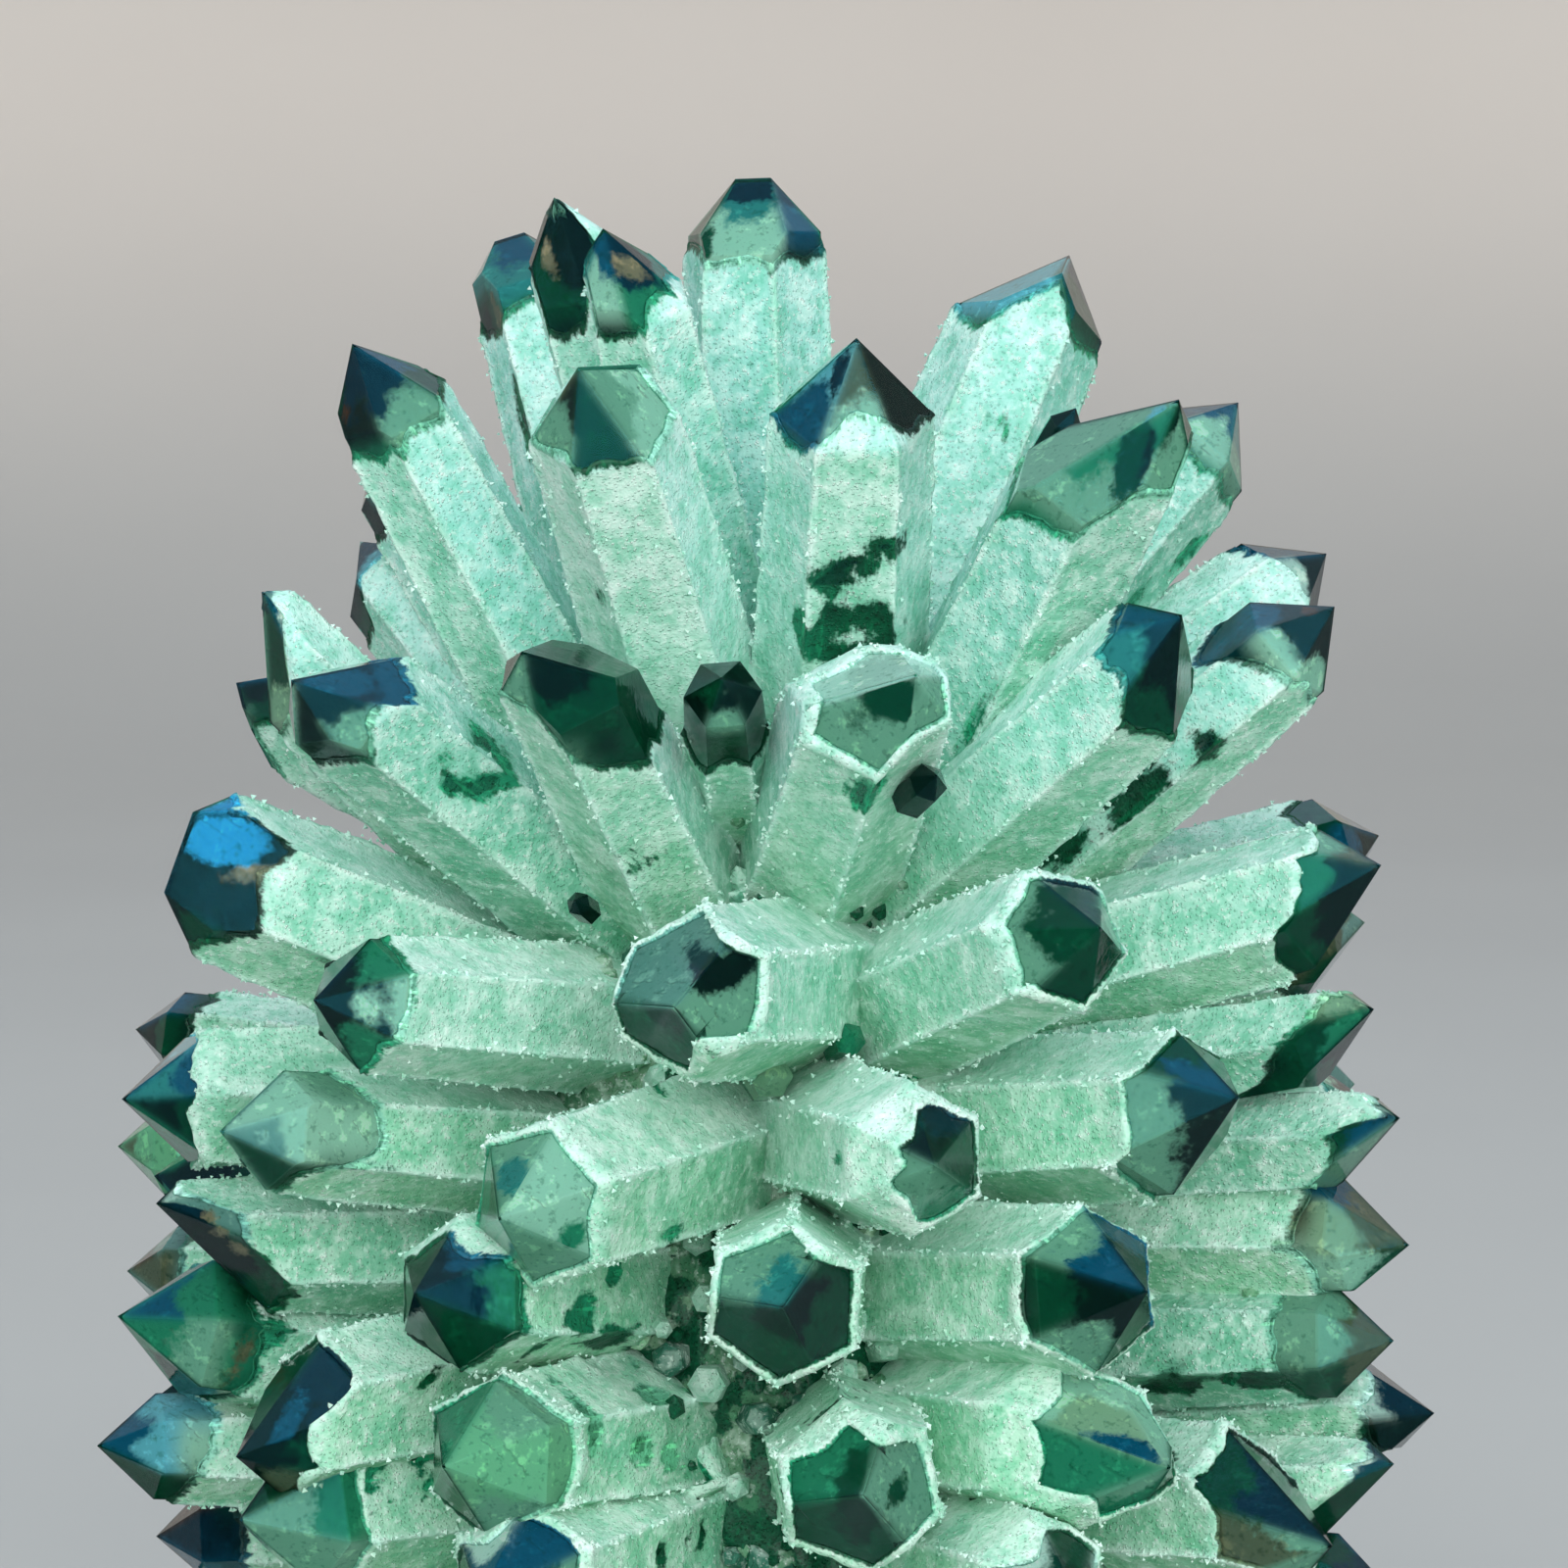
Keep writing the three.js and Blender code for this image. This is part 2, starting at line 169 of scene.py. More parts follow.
# their width, and how much their width, reach, direction, lean and end faces vary
RING_WIDTH = 16
RING_WIDTH_SPREAD = 2
RING_REACH_SPREAD = 3
RING_TURN_SPREAD = 3
RING_LEAN = 0.35
RING_TRIM = 3

# short crystals that crust the heart, in a sunflower spiral: how many, lowest and highest root, width, how
# far they stand out and how deep they reach
CRUST_COUNT = 40
CRUST_FOOT = 26
CRUST_TOP = 150
CRUST_WIDTH = 9
CRUST_WIDTH_SPREAD = 2
CRUST_REACH = 8
CRUST_DEPTH = 14

# the heart: radius at each height, and how strong its swellings are and how many run round and up
HEART_RADII = (46, 50, 47, 43, 41, 36, 27, 14, 0)
HEART_HEIGHTS = (0, 10, 32, 60, 90, 116, 136, 148, 152)
HEART_SWELL = 0.04
HEART_SWELLS_ROUND = 5
HEART_SWELLS_UP = 3

# columns and rows of the heart's crust, and how many knobs, small crystals and loose grains there are
HEART_COLUMNS = 260
HEART_ROWS = 120
KNOB_COUNT = 1800
KNOBS_AT_ROOT = 14
KNOBS_AT_CRUSTY_ROOT = 40
DRUSE_COUNT = 900
FRONT_GRAINS = 620
BACK_GRAINS = 120

# where the skin of a crystal has points across each of its sides, in sides: crowded towards the edges
FINE = (-0.5, -0.47, -0.425, -0.36, -0.27, -0.15, 0, 0.15, 0.27, 0.36, 0.425, 0.47)
COARSE = (-0.5, -0.44, -0.3, -0.1, 0.1, 0.3, 0.44)
# how far it is from row to row down a crystal
FROST_STEP = 1.4
BACK_FROST_STEP = 2.2
PHANTOM_STEP = 0.7
BACK_PHANTOM_STEP = 1.4
LOW_PHANTOM_STEP = 1.2
# rows of the frost just below its lip, where it is finest
LIP_ROWS = (0.0, 0.16, 0.36, 0.65, 1.0, 1.5, 2.1, 2.8, 3.6, 4.5)

# how far the phantom and the clear end reach down behind the frost
PHANTOM_OVERLAP = 2.5
CLEAR_OVERLAP = 4

# crystals whose frost has broken up into crust and holes near the heart
CRUSTY = "T30 T38 T39 T42 T43 T44 T46 T47 T50 T51 T52 T53".split()
# crystals whose frost stands up in a rim round the clear end
RIMMED = "T12 T20 T21 T22 T26 T31 T32 T33 T35 T40 T41 T42 T43 T44 T47 T50 T51 T52".split()

# seeds of the random draws
FROST_SEED = 21
HEART_SEED = 51

FLOOR_COLUMNS = 96
# how far the floor lies under the cluster, in metres
FLOOR_GAP = 0.0005

# how each crystal's end looks, with one letter or number for each of its six end faces: its tone at the tip
# and at the rim, the tone that shows through bare places of the prism, where the frost begins in
# millimetres below the rim (less than 0 lies on the end face), and how ragged its edge is
# the tones b, s, c and n on an end face are painted reflections of the sky
LOOKS = {
    "T1": ("tnnddd", "pbggmd", "dddddd", (0, 3, 0, 0, 0, 1), 0.6),
    "T2a": ("kkkkkk", "gwgdkd", "dddddd", (-3, -8, -5, 0, 2, 2), 1.2),
    "T2b": ("nnddbb", "gtgdtp", "gddddd", (-3, -3, 0, 0, 2, 3), 1.3),
    "T2c": ("btbkbt", "ttgdtt", "gddddd", (2, 5, 0, 0, 4, 8), 1.2),
    "T3": ("nbkknn", "mdgddk", "gddddg", (0, -1, -1, 0, 2, 3), 1.4),
    "T4": ("dmmmok", "dpmmmm", "dddddd", (-1, -1, -1, -1, -1, -1), 0.5),
    "T5": ("okkkts", "pkkkgb", "ddddgg", (-5, -1, 0, 0, 0, 1), 1.0),
    "T6": ("mnnnks", "pdndds", "gggggg", (0, 2, 1, 0, 0, 2), 1.2),
    "T7": ("gkkkdm", "mmdddm", "gggggg", (3, 0, 0, 0, 0, 2), 0.8),
    "T8": ("btkkkb", "pmddkb", "gggggg", (2, 3, 0, 0, 0, 1), 1.2),
    "T9": ("kkkkkb", "wkkkkb", "dddddd", (-3, -1, 0, 0, 0, 0), 1.2),
    "T10": ("kkkkkk", "ppddkb", "ddgddb", (2, 0, 0, 0, 0, 9), 0.9),
    "T11": ("nkkkkb", "tddddb", "dddddd", (-1, 0, 0, 0, 0, 0), 1.3),
    "T12": ("dmpwww", "mmmwww", "gggggg", (-1.5, -1, -1, -4, -6, -3), 0.6),
    "T13": ("kkkddm", "dddddm", "dddddm", (9, 13, 5, 0, 0, 0), 0.8),
    "T14": ("knnkpk", "mbbkmk", "gggddk", (-2, -1.5, -1, 0, 0, 4), 1.3),
    "T15": ("bbkkmd", "wbdddy", "ggdddm", (-5, -5, -3, 0, 0, 1), 1.4),
    "T16": ("nnkkkk", "sbkkkk", "dddddd", (-2, 0, 0, 0, 2, 4), 1.2),
    "T17": ("tkkkkk", "ttkkkk", "dddddk", (-3, -2, 0, 0, 2, 5), 1.0),
    "T18": ("kckkkk", "kcgkkd", "ddddkk", (-3, -1, 0, 0, -1, 1), 1.8),
    "T19": ("kknkkk", "pgkkkg", "ggdddd", (-1, 1, 0, 0, 0, -1), 0.9),
    "T20": ("mkvnkd", "mdvddg", "dddddd", (-1.5, -1.5, -1, -0.5, -1, -4), 0.3),
    "T21": ("dddknd", "mddmnm", "dddddd", (-3, -1, -1, 0, -1, -3), 0.8),
    "T22": ("kkkkko", "gddddm", "dddddd", (-1, 3, 2, 0, 0, -1), 1.3),
    "T23": ("kkkkkb", "bkkkkd", "dddddd", (5, 4, 0, 0, 0, 4), 1.6),
    "T24": ("gkkkyd", "ddddyy", "ddddgg", (5, 14, 8, 0, -1, -1), 1.6),
    "T25": ("vddddv", "oddddg", "oddddg", (6, 3, 0, 0, 0, 3), 1.4),
    "T26": ("kkbkkk", "kddmmk", "dddggd", (2, 0, 0, -1, 2, 4), 1.3),
    "T27": ("bmkkkn", "dmdddw", "dddddd", (-1, 1, 0, 0, 0, -4), 1.0),
    "T28": ("vvvvvv", "vdvvvv", "vdvvvv", (4, 3, 0, 0, 0, 3), 0.9),
    "T29": ("oddddo", "ypgddb", "opdddg", (3, 4, 1, 0, 0, 1), 0.8),
    "T30": ("oooddo", "mddddm", "mdddgm", (5, 4, 2, 0, 2, 5), 0.9),
    "T31": ("kkbkkk", "bbmdmd", "ddgddd", (0, 0, 0, 2.5, 0, 0), 1.0),
    "T32": ("dkkmmm", "dndppg", "gggggg", (-0.7, -2.5, -8, -8.5, -6, -0.7), 0.8),
    "T33": ("ppmdmm", "ppmgmm", "gggggg", (-3.2, -2.4, -1.0, 0, -0.5, -1.2), 0.4),
    "T34": ("vpvmmd", "ppmmmd", "pmmmmd", (11, 8, 2, 0, 0, 1), 0.6),
    "T35": ("tbkkgk", "bsddgd", "ddddgd", (-3, 0, 0, 0, -1, -4), 1.5),
    "T36": ("kbkkkk", "dbkkkd", "dddddd", (1, 3, 1, 0, 0, 1), 1.5),
    "T37": ("nnkkkk", "vwdddd", "dddddd", (-1.5, -1, 0, 0, 0, 0), 1.2),
    "T38": ("gbtkgg", "mgtdgd", "gdgddd", (5, 4, 1, 0, 2, 5), 1.2),
    "T39": ("nkkkkd", "gbddkd", "ggggdd", (1, -5, -5, -1, 0, 1), 1.3),
    "T40": ("kgtdkk", "dgmddg", "dddddd", (-1.2, -2.5, -2, -0.9, -0.9, -0.9), 0.25),
    "T41": ("dpygmd", "dppggd", "gggggg", (0, -1, -6, -8, -6, -1), 0.8),
    "T42": ("kkkkkk", "dnddko", "dddddd", (-4, 1, -0.5, 0, 0, 0), 1.6),
    "T43": ("llgdkl", "lmgddm", "lmgddd", (5, 3, -0.6, 0, 0, -0.5), 0.6),
    "T44": ("mddkkk", "mdgddd", "dddddd", (-1.2, -4, -4.5, -1, -1, -1.2), 0.4),
    "T45": ("kkkknn", "kkkkbw", "dddddd", (0, 0, 0, 0, 0, -3), 1.2),
    "T46": ("nddddn", "wddddn", "dddddd", (-4, -2, 0, 0, 0, -2), 1.4),
    "T47": ("kknmmk", "dkdomd", "dddddd", (0, 0, -2.5, 0, 0, 0), 1.2),
    "T48": ("bbkddd", "ssbddd", "psdddd", (6, 6, 0, 0, 0, 2), 0.7),
    "T49": ("nrkkkb", "nrkkkb", "ndkddb", (5, 3, 0, 0, 0, 4), 1.0),
    "T50": ("mdkkmm", "gddgmm", "gggggm", (2, 1, 0, 0, 2, 3), 0.9),
    "T51": ("dbbkkd", "mbwdgd", "dddddd", (-2, -1, -4, 0, 0, -1), 1.0),
    "T52": ("kkdkkd", "wdwdgd", "dddddd", (-3, -1, -5, 0, 0, -1), 1.0),
    "T54": ("olgddl", "llgddl", "lggddl", (3, 2, 0, 0, 0, 3), 1.0),
    "T55": ("orvddv", "ovvddv", "vddddv", (3, 2, 0, 0, 0, 2), 1.0),
    "S3": ("kkkkkd", "mkkkkk", "dddddd", (10, 14, 8, 4, 6, 14), 1.0),
}

# looks that the other crystals share out among them
# here too the tones b, s and n are painted reflections of the sky
COMMON_LOOKS = [
    ("knnkkk", "pbdddg", "dddddd", (-1, 1, 0, -1, 0, 1), 1.2),
    ("kkdnkk", "gdgbdp", "gdddgd", (0, -2, -1, 1, 2, 0), 1.0),
    ("ndkkbk", "tmddsp", "ddggdd", (-2, 0, 0, 2, 1, -3), 1.3),
    ("kgmknd", "dgmpbd", "ddgddd", (1, 3, -1, -2, 0, 0), 1.1),
    ("ookkdk", "ypdgdm", "dddodd", (2, 0, -1, 0, 3, 1), 1.0),
    ("kbnkkn", "gsbdkm", "dbdddd", (3, 1, 0, 0, -2, 0), 1.2),
]

# how much paler (more than 0) or deeper (less than 0) the frost of single crystals is
SHADES = {
    "T4": 0.40, "T5": 0.10, "T12": 0.12, "T13": 0.15, "T19": 0.30, "T31": 0.16, "T32": 0.34,
    "T1": -0.12, "T2b": -0.12, "T3": -0.05, "T6": -0.20, "T7": -0.26, "T8": -0.50, "T14": -0.36,
    "T24": -0.46, "T27": -0.42, "T28": -0.30, "T30": -0.50, "T35": -0.24, "T37": -0.36, "T38": -0.26,
    "T45": -0.20, "T46": -0.16,
}

# bare places in the frost of each crystal: place around it in sides (0 is the middle of side 0), distance
# below the rim, half its extent around and along, and 1 for bare or -1 for an island of frost within one
WINDOWS = {
    "T2c": [(5.3, 19, 1.2, 6, 1)],
    "T4": [(5.2, 22, 0.8, 1.2, 1)],
    "T5": [(0.45, 14, 3.4, 1.8, 1), (0.1, 16.5, 3.4, 1.6, 1), (-0.25, 18.5, 3.0, 1.6, 1),
           (0.0, 27, 7.0, 5.5, 1), (0.3, 20.5, 3.0, 1.2, -1), (0.1, 27, 2.0, 1.0, -1)],
    "T6": [(0.2, 22, 1.0, 1.2, 1)],
    "T7": [(5.2, 33, 0.7, 3.5, 1), (0.4, 34, 0.6, 7, 1)],
    "T8": [(1.3, 11, 1.6, 3.2, 1), (1.0, 24, 1.2, 5, 1)],
    "T10": [(0.4, 14, 2.6, 3, 1), (0.3, 25, 1.8, 6, 1), (0.2, 38, 1.2, 4, 1)],
    "T12": [(0.45, 5, 2.6, 3.4, 1)],
    "T13": [(5.7, 29, 2.4, 0.8, 1), (5.6, 25.5, 1.8, 0.4, 1)],
    "T14": [(0.45, 15.5, 5.4, 5.2, 1), (0.4, 13.5, 2.6, 3.0, -1)],
    "T15": [(0.1, 7, 1.2, 2, 1)],
    "T18": [(5.4, 14, 0.8, 5, 1)],
    "T24": [(1.1, 12, 3.2, 7, 1)],
    "T29": [(0.55, 4, 1.5, 3.2, 1)],
    "T30": [(0.85, 9, 2.4, 5, 1), (0.8, 20, 2.8, 4.6, 1)],
    "T32": [(3.0, 4, 0.8, 1.6, 1)],
    "T33": [(1.5, 24, 1.7, 1.1, 1), (5.6, 16, 0.8, 2.4, 1)],
    "T34": [(5.55, 6, 0.6, 6, 1)],
    "T38": [(0.4, 7, 3, 2.4, 1)],
    "T39": [(5.7, 13.5, 2.8, 3.4, 1), (5.35, 22, 3, 4.6, 1), (5.2, 34, 3, 4, 1),
            (5.15, 9.5, 2.6, 0.9, 1)],
    "T41": [(4.4, 15, 1.4, 7, 1)],
    "T42": [(0.4, 12, 1.6, 1, 1)],
    "T43": [(0.55, 9.5, 7, 1.5, 1), (0.0, 20, 2, 2.8, 1), (5.2, 18, 3, 3.4, 1), (0.7, 25, 2, 3, 1)],
    "T44": [(1.7, 3, 4, 0.9, 1), (3.0, 14, 2, 3, 1)],
    "T47": [(2.3, 5, 2.4, 2, 1)],
    "T50": [(0.3, 8, 5, 5, 1), (0.1, 8.5, 3.4, 3.4, -1)],
}

# spots of another tone on each crystal: face (0 to 5 is an end face, 6 to 11 a side), place across it and
# along it (from the tip on an end face, from the rim on a side), half length, half width, turn in degrees
# and tone
# marks in the tones b, s, c and n are painted reflections of the sky
MARKS = {
    "T1": [(0, 0.0, 1.4, 5.0, 2.2, 0, "n"), (0, -5.6, 9.5, 5.5, 1.6, 80, "d")],
    "T2a": [(5, -0.8, 7.4, 2.4, 0.9, 65, "e")],
    "T2b": [(0, 0.4, 5.6, 2.4, 1.3, 60, "e")],
    "T2c": [(11, 2.2, 5.0, 2.6, 1.2, 85, "o"), (11, -1.6, 8.0, 4.0, 1.4, 85, "k")],
    "T3": [(5, -2.6, 5.6, 3.4, 1.0, 80, "r")],
    "T5": [(5, 0.6, 4.4, 3.0, 1.2, 70, "n")],
    "T6": [(0, 1.0, 9.0, 2.6, 1.6, 10, "d")],
    "T7": [(0, 0.6, 9.0, 6.4, 2.2, 60, "d"), (0, 1.6, 8.0, 4.6, 1.2, 60, "k"),
           (5, 1.2, 2.6, 2.6, 1.2, 0, "s")],
    "T10": [(5, 0.3, 2.6, 2.2, 0.8, 0, "r")],
    "T12": [(0, -0.6, 3.6, 5.5, 2.6, 0, "d")],
    "T14": [(1, 0.4, 5.6, 4.6, 2.8, 85, "b")],
    "T18": [(0, 3.2, 4.8, 5.6, 3.2, 80, "c"), (0, 0.2, 9.6, 3.4, 1.0, 70, "e"),
            (5, 0.0, 6.0, 2.6, 1.2, 40, "o")],
    "T20": [(0, 4.4, 6.0, 5.5, 2.6, 75, "k"), (2, -4.0, 6.0, 5.0, 1.6, 75, "n")],
    "T26": [(2, 0.4, 6.6, 4.0, 1.3, 80, "b")],
    "T31": [(2, 1.8, 6.6, 3.4, 2.4, 70, "b")],
    "T33": [(2, 0.0, 6.8, 3.4, 2.4, 60, "t"), (0, -2.4, 9.4, 2.4, 1.6, 20, "g")],
    "T37": [(0, -2.0, 6.2, 1.4, 1.0, 30, "e"), (5, 2.4, 8.2, 1.3, 1.0, 20, "e"),
            (5, 1.4, 11.6, 1.3, 1.0, 60, "e")],
    "T38": [(6, 0.6, 4.2, 3.0, 0.9, 10, "o")],
    "T41": [(2, 2.0, 6.0, 5.5, 2.0, 60, "b")],
    "T42": [(1, -1.4, 6.2, 5.0, 1.6, 55, "b")],
    "T44": [(0, -1.0, 6.4, 2.6, 1.4, 60, "d")],
}

# little crystals of their own: root, tip, width, roll and tone
EXTRAS = [
    ((19.2, -60.5, 155.6), (21.2, -65, 157.8), 5.0, 10, "k"),
    ((38.5, -8, 197), (40.6, -10, 201), 4.8, 40, "k"),
    ((-22.3, -43, 139), (-23.6, -47, 140.6), 3.4, 20, "k"),
    ((9.4, -43, 121.6), (11.5, -49.5, 124), 4.4, 15, "g"),
    ((0.4, -46, 118), (1.4, -53, 119.5), 5.6, 30, "y"),
    ((66, -22, 87.3), (70.5, -32, 85), 4.0, 30, "d"),
]

# the colour property of each tone letter; the blue ones, b, s, c and n, are painted reflections of the sky
TONES = {
    "k": "near_black", "d": "deep_green", "g": "leaf_green", "m": "grey_green", "p": "mint", "t": "teal",
    "b": "blue", "s": "sky", "c": "azure", "n": "navy", "v": "slate", "o": "olive", "y": "pale_olive",
    "l": "spring", "e": "rust", "r": "red_brown", "w": "frost",
}


def mm(length):
    """A length property in millimetres."""
    return length / MM


def unit(vectors):
    """Vectors of length 1."""
    return vectors / np.linalg.norm(vectors, axis=-1, keepdims=True)


def ease(values):
    """0 below 0 and 1 above 1, with a soft s-shaped rise between: t squared times (3 - 2 t)."""
    t = np.clip(values, 0.0, 1.0)
    return t * t * (3 - 2 * t)


def mix(a, b, amount):
    """a where the amount is 0, b where it is 1."""
    return a + (b - a) * amount


def scatter(seed):
    """A repeatable number between -1 and 1: the far digits of a large sine."""
    wave = math.sin(seed * 12.9898) * 43758.5453
    return 2 * (wave - math.floor(wave)) - 1


# the numbers at the corners of the noise's cells
NOISE_TABLE = np.random.default_rng(7).uniform(-1, 1, 4096)


def clouds(points, size, seed=0, octaves=1):
    """Smooth noise between -1 and 1. Each corner of a grid of cells of the given size holds a random
    number, and a point takes the eased mix of its cell's eight corners. Each further octave is half as big
    and half as strong."""
    total = np.zeros(points.shape[:-1])
    reach = 0.0
    for octave in range(octaves):
        strength = 0.5 ** octave
        spot = points / size * 2 ** octave + 17.3 * (octave + 1)
        cell = np.floor(spot).astype(np.int64)
        part = ease(spot - cell)
        value = 0.0
        for corner in range(8):
            step = np.array([corner & 1, corner >> 1 & 1, corner >> 2 & 1])
            at = cell + step
            key = at[..., 0] * 73856093 ^ at[..., 1] * 19349663 ^ at[..., 2] * 83492791
            weight = np.prod(np.where(step, part, 1 - part), axis=-1)
            value = value + weight * NOISE_TABLE[(key + seed * 977) & 4095]
        total += strength * value
        reach += strength
    return total / reach


def rays(turn):
    """Unit vectors (x, y) at each turn."""
    return np.stack([np.cos(turn), np.sin(turn)], axis=-1)


def with_z(flat, z):
    """Points or directions (x, y) with their z added."""
    return np.concatenate([flat, np.broadcast_to(z, flat.shape[:-1])[..., None]], axis=-1)


def round_axis(radius, angle, height):
    """Points at a radius and an angle round the z axis, and at a height."""
    return np.stack(np.broadcast_arrays(radius * np.cos(angle), radius * np.sin(angle), height), axis=-1)


def paint(name):
    """A colour property as three numbers."""
    return np.array(list(getattr(bpy.context.scene.quartz_colours, name)))


def tone_values(letters):
    """Colours for a string of tone letters."""
    return np.array([paint(TONES[letter]) for letter in letters])


def linked(name, data):
    """A new object in the scene."""
    thing = bpy.data.objects.new(name, data)
    bpy.context.scene.collection.objects.link(thing)
    return thing


def across(axis):
    """Two unit vectors square to an axis: one level, one pointing upwards."""
    side = unit(np.array([-axis[1], axis[0], 0.0]))
    return side, unit(np.cross(axis, side))


def heading(azimuth, elevation):
    """The unit vector at an azimuth and an elevation, both in degrees."""
    a = math.radians(azimuth)
    e = math.radians(elevation)
    return np.array([math.sin(a) * math.cos(e), -math.cos(a) * math.cos(e), math.sin(e)])


def heart_radius(height):
    """How far the heart reaches out at a height, without its swellings."""
    return np.interp(height, HEART_HEIGHTS, HEART_RADII)


def heart_swell(angle, height):
    """The heart's swelling: 1 plus a spiral wave that fades to nothing at the foot and at the top."""
    up = height / HEART_HEIGHTS[-1]
    wave = np.sin(HEART_SWELLS_ROUND * angle + 2 * math.pi * HEART_SWELLS_UP * up)
    return 1 + HEART_SWELL * wave * np.sin(math.pi * up)


class Crystal:
    """One crystal. In its own frame z runs along its axis from the shoulder, the height at which an end
    face that passes through the axis end would meet its side of the prism, and x is level. Its name begins
    with T or S where it shows from the front, R in a ring, C in the crust and E among the little ones."""

    def __init__(self, name, root, tip, width, roll, lean_side=0.0, lean_up=0.0, trims="000000"):
        root = np.asarray(root, float)
        tip = np.asarray(tip, float)
        self.name = name
        self.half = width / 2
        side, up = across(tip - root)
        end = tip - self.half * (lean_side * side + lean_up * up)
        self.along = unit(end - root)
        self.side, self.up = across(self.along)
        self.shoulder = end - math.tan(END_SLOPE) * self.half * self.along
        self.root = root
        self.turns = np.radians(roll + 60 * np.arange(SIDES))
        self.outward = rays(self.turns)
        away = tip - self.shoulder
        self.apex = np.array([away @ self.side, away @ self.up, away @ self.along])
        pushed = np.array([int(trim) for trim in trims]) / 10 * self.half
        self.end_reach = END_SIN * self.outward @ self.apex[:2] + END_COS * self.apex[2] + pushed
        self.side_length = 2 * self.half * math.tan(math.pi / SIDES)

    @property
    def face_length(self):
        """How long an end face is where the tip lies on the axis."""
        return self.half / END_COS

    def shrunk(self, end_inset, side_inset):
        """A copy whose end faces and sides lie further in."""
        inner = copy.copy(self)
        inner.half = self.half - side_inset
        inner.end_reach = self.end_reach - end_inset
        inner.apex = self.apex - np.array([0, 0, end_inset / END_COS])
        return inner

    def outside(self, points):
        """Points of the crystal's own frame in the cluster."""
        return self.shoulder + self.turned(points)

    def turned(self, vectors):
        """Directions of the crystal's own frame in the cluster."""
        return vectors[..., :1] * self.side + vectors[..., 1:2] * self.up + vectors[..., 2:] * self.along

    def hexagon(self, turn):
        """How far a hexagon of half width 1 reaches at each turn: 1 over the cosine to its nearest side."""
        near = (turn - self.turns[0] + math.pi / 6) % (math.pi / 3) - math.pi / 6
        return 1 / np.cos(near)

    def end_heights(self, place):
        """The height of each end plane over points (x, y)."""
        return (self.end_reach - END_SIN * place @ self.outward.T) / END_COS

    def rim(self, turn):
        """The rim, where the lowest end plane meets the prism, found in a few steps."""
        ray = rays(turn)
        height = np.zeros_like(turn)
        for _ in range(5):
            radius = (self.half - TAPER * height) * self.hexagon(turn)
            height = self.end_heights(radius[..., None] * ray).min(axis=-1)
        return radius[..., None] * ray, height

    def climb(self, rim, height):
        """How far it is straight from each point of the rim to the tip."""
        return np.hypot(np.linalg.norm(self.apex[:2] - rim, axis=-1), self.apex[2] - height)

    def skin(self, turn, down):
        """Points and outward normals of the surface, at a turn and a distance down from the rim. Below the
        rim the point slides down the prism, and above it the point climbs straight to the tip."""
        rim, height = self.rim(turn)
        climbed = np.clip(-down / self.climb(rim, height), 0, 1)[..., None]
        inner = mix(rim, self.apex[:2], climbed)
        heights = self.end_heights(inner)
        low = height - np.maximum(down, 0.0)
        ray = rays(turn)
        below = ((self.half - TAPER * low) * self.hexagon(turn))[..., None] * ray
        on_side = down > 0
        flat = np.where(on_side[..., None], below, inner)
        points = with_z(flat, np.where(on_side, low, heights.min(axis=-1)))
        near = np.round((turn - self.turns[0]) / (math.pi / 3)).astype(int) % SIDES
        corner = ease((self.hexagon(turn) - 1.10) / 0.05)[..., None]
        side_normal = mix(with_z(self.outward[near], TAPER), with_z(ray, 0.0), corner)
        end_normal = with_z(END_SIN * self.outward[heights.argmin(axis=-1)], END_COS)
        return points, unit(mix(end_normal, side_normal, ease(down / 0.8 + 0.5)[..., None]))

    def bare_length(self):
        """How far the prism runs from its rim until its axis is well inside the heart."""
        total = np.linalg.norm(self.shoulder - self.root)
        steps = np.arange(0.0, total, 1.0)
        axis = self.shoulder - steps[:, None] * self.along
        spread = np.hypot(axis[:, 0], axis[:, 1])
        deep = spread < np.maximum(heart_radius(axis[:, 2]) - 7, 4) * (axis[:, 2] < 148)
        first = np.argmax(deep) if deep.any() else len(steps) - 1
        return float(min(steps[first] + 2, total - 1))


def front_crystals():
    """The crystals of the table."""
    return [
        Crystal(name, (root_x, 0, root_z), (x, y, z), width, roll, *lean_and_trims)
        for name, root_x, root_z, x, y, z, width, roll, *lean_and_trims in CRYSTALS
    ]


def ring_crystals():
    """The crystals of the rings, each a little different from its neighbours."""
    crystals = []
    for ring, (height, elevation, reach, first, last, count) in enumerate(RINGS):
        for n in range(count):
            seed = 20 * ring + n + 1
            azimuth = first + (last - first) * n / max(count - 1, 1)
            root = np.array([0.0, 0.0, height])
            direction = heading(
                azimuth + RING_TURN_SPREAD * scatter(seed),
                elevation + RING_TURN_SPREAD * scatter(seed + 0.1),
            )
            tip = root + direction * (reach + RING_REACH_SPREAD * scatter(seed + 0.2))
            trim = str(math.floor(RING_TRIM * (1 + scatter(seed + 0.3)) + 0.5))
            crystals.append(Crystal(
                f"R{ring}_{n}", root, tip,
                RING_WIDTH + RING_WIDTH_SPREAD * scatter(seed + 0.4),
                180 * scatter(seed + 0.5),
                RING_LEAN * scatter(seed + 0.6),
                RING_LEAN * scatter(seed + 0.7),
                "0" + trim + "00" + trim + "0",
            ))
    return crystals


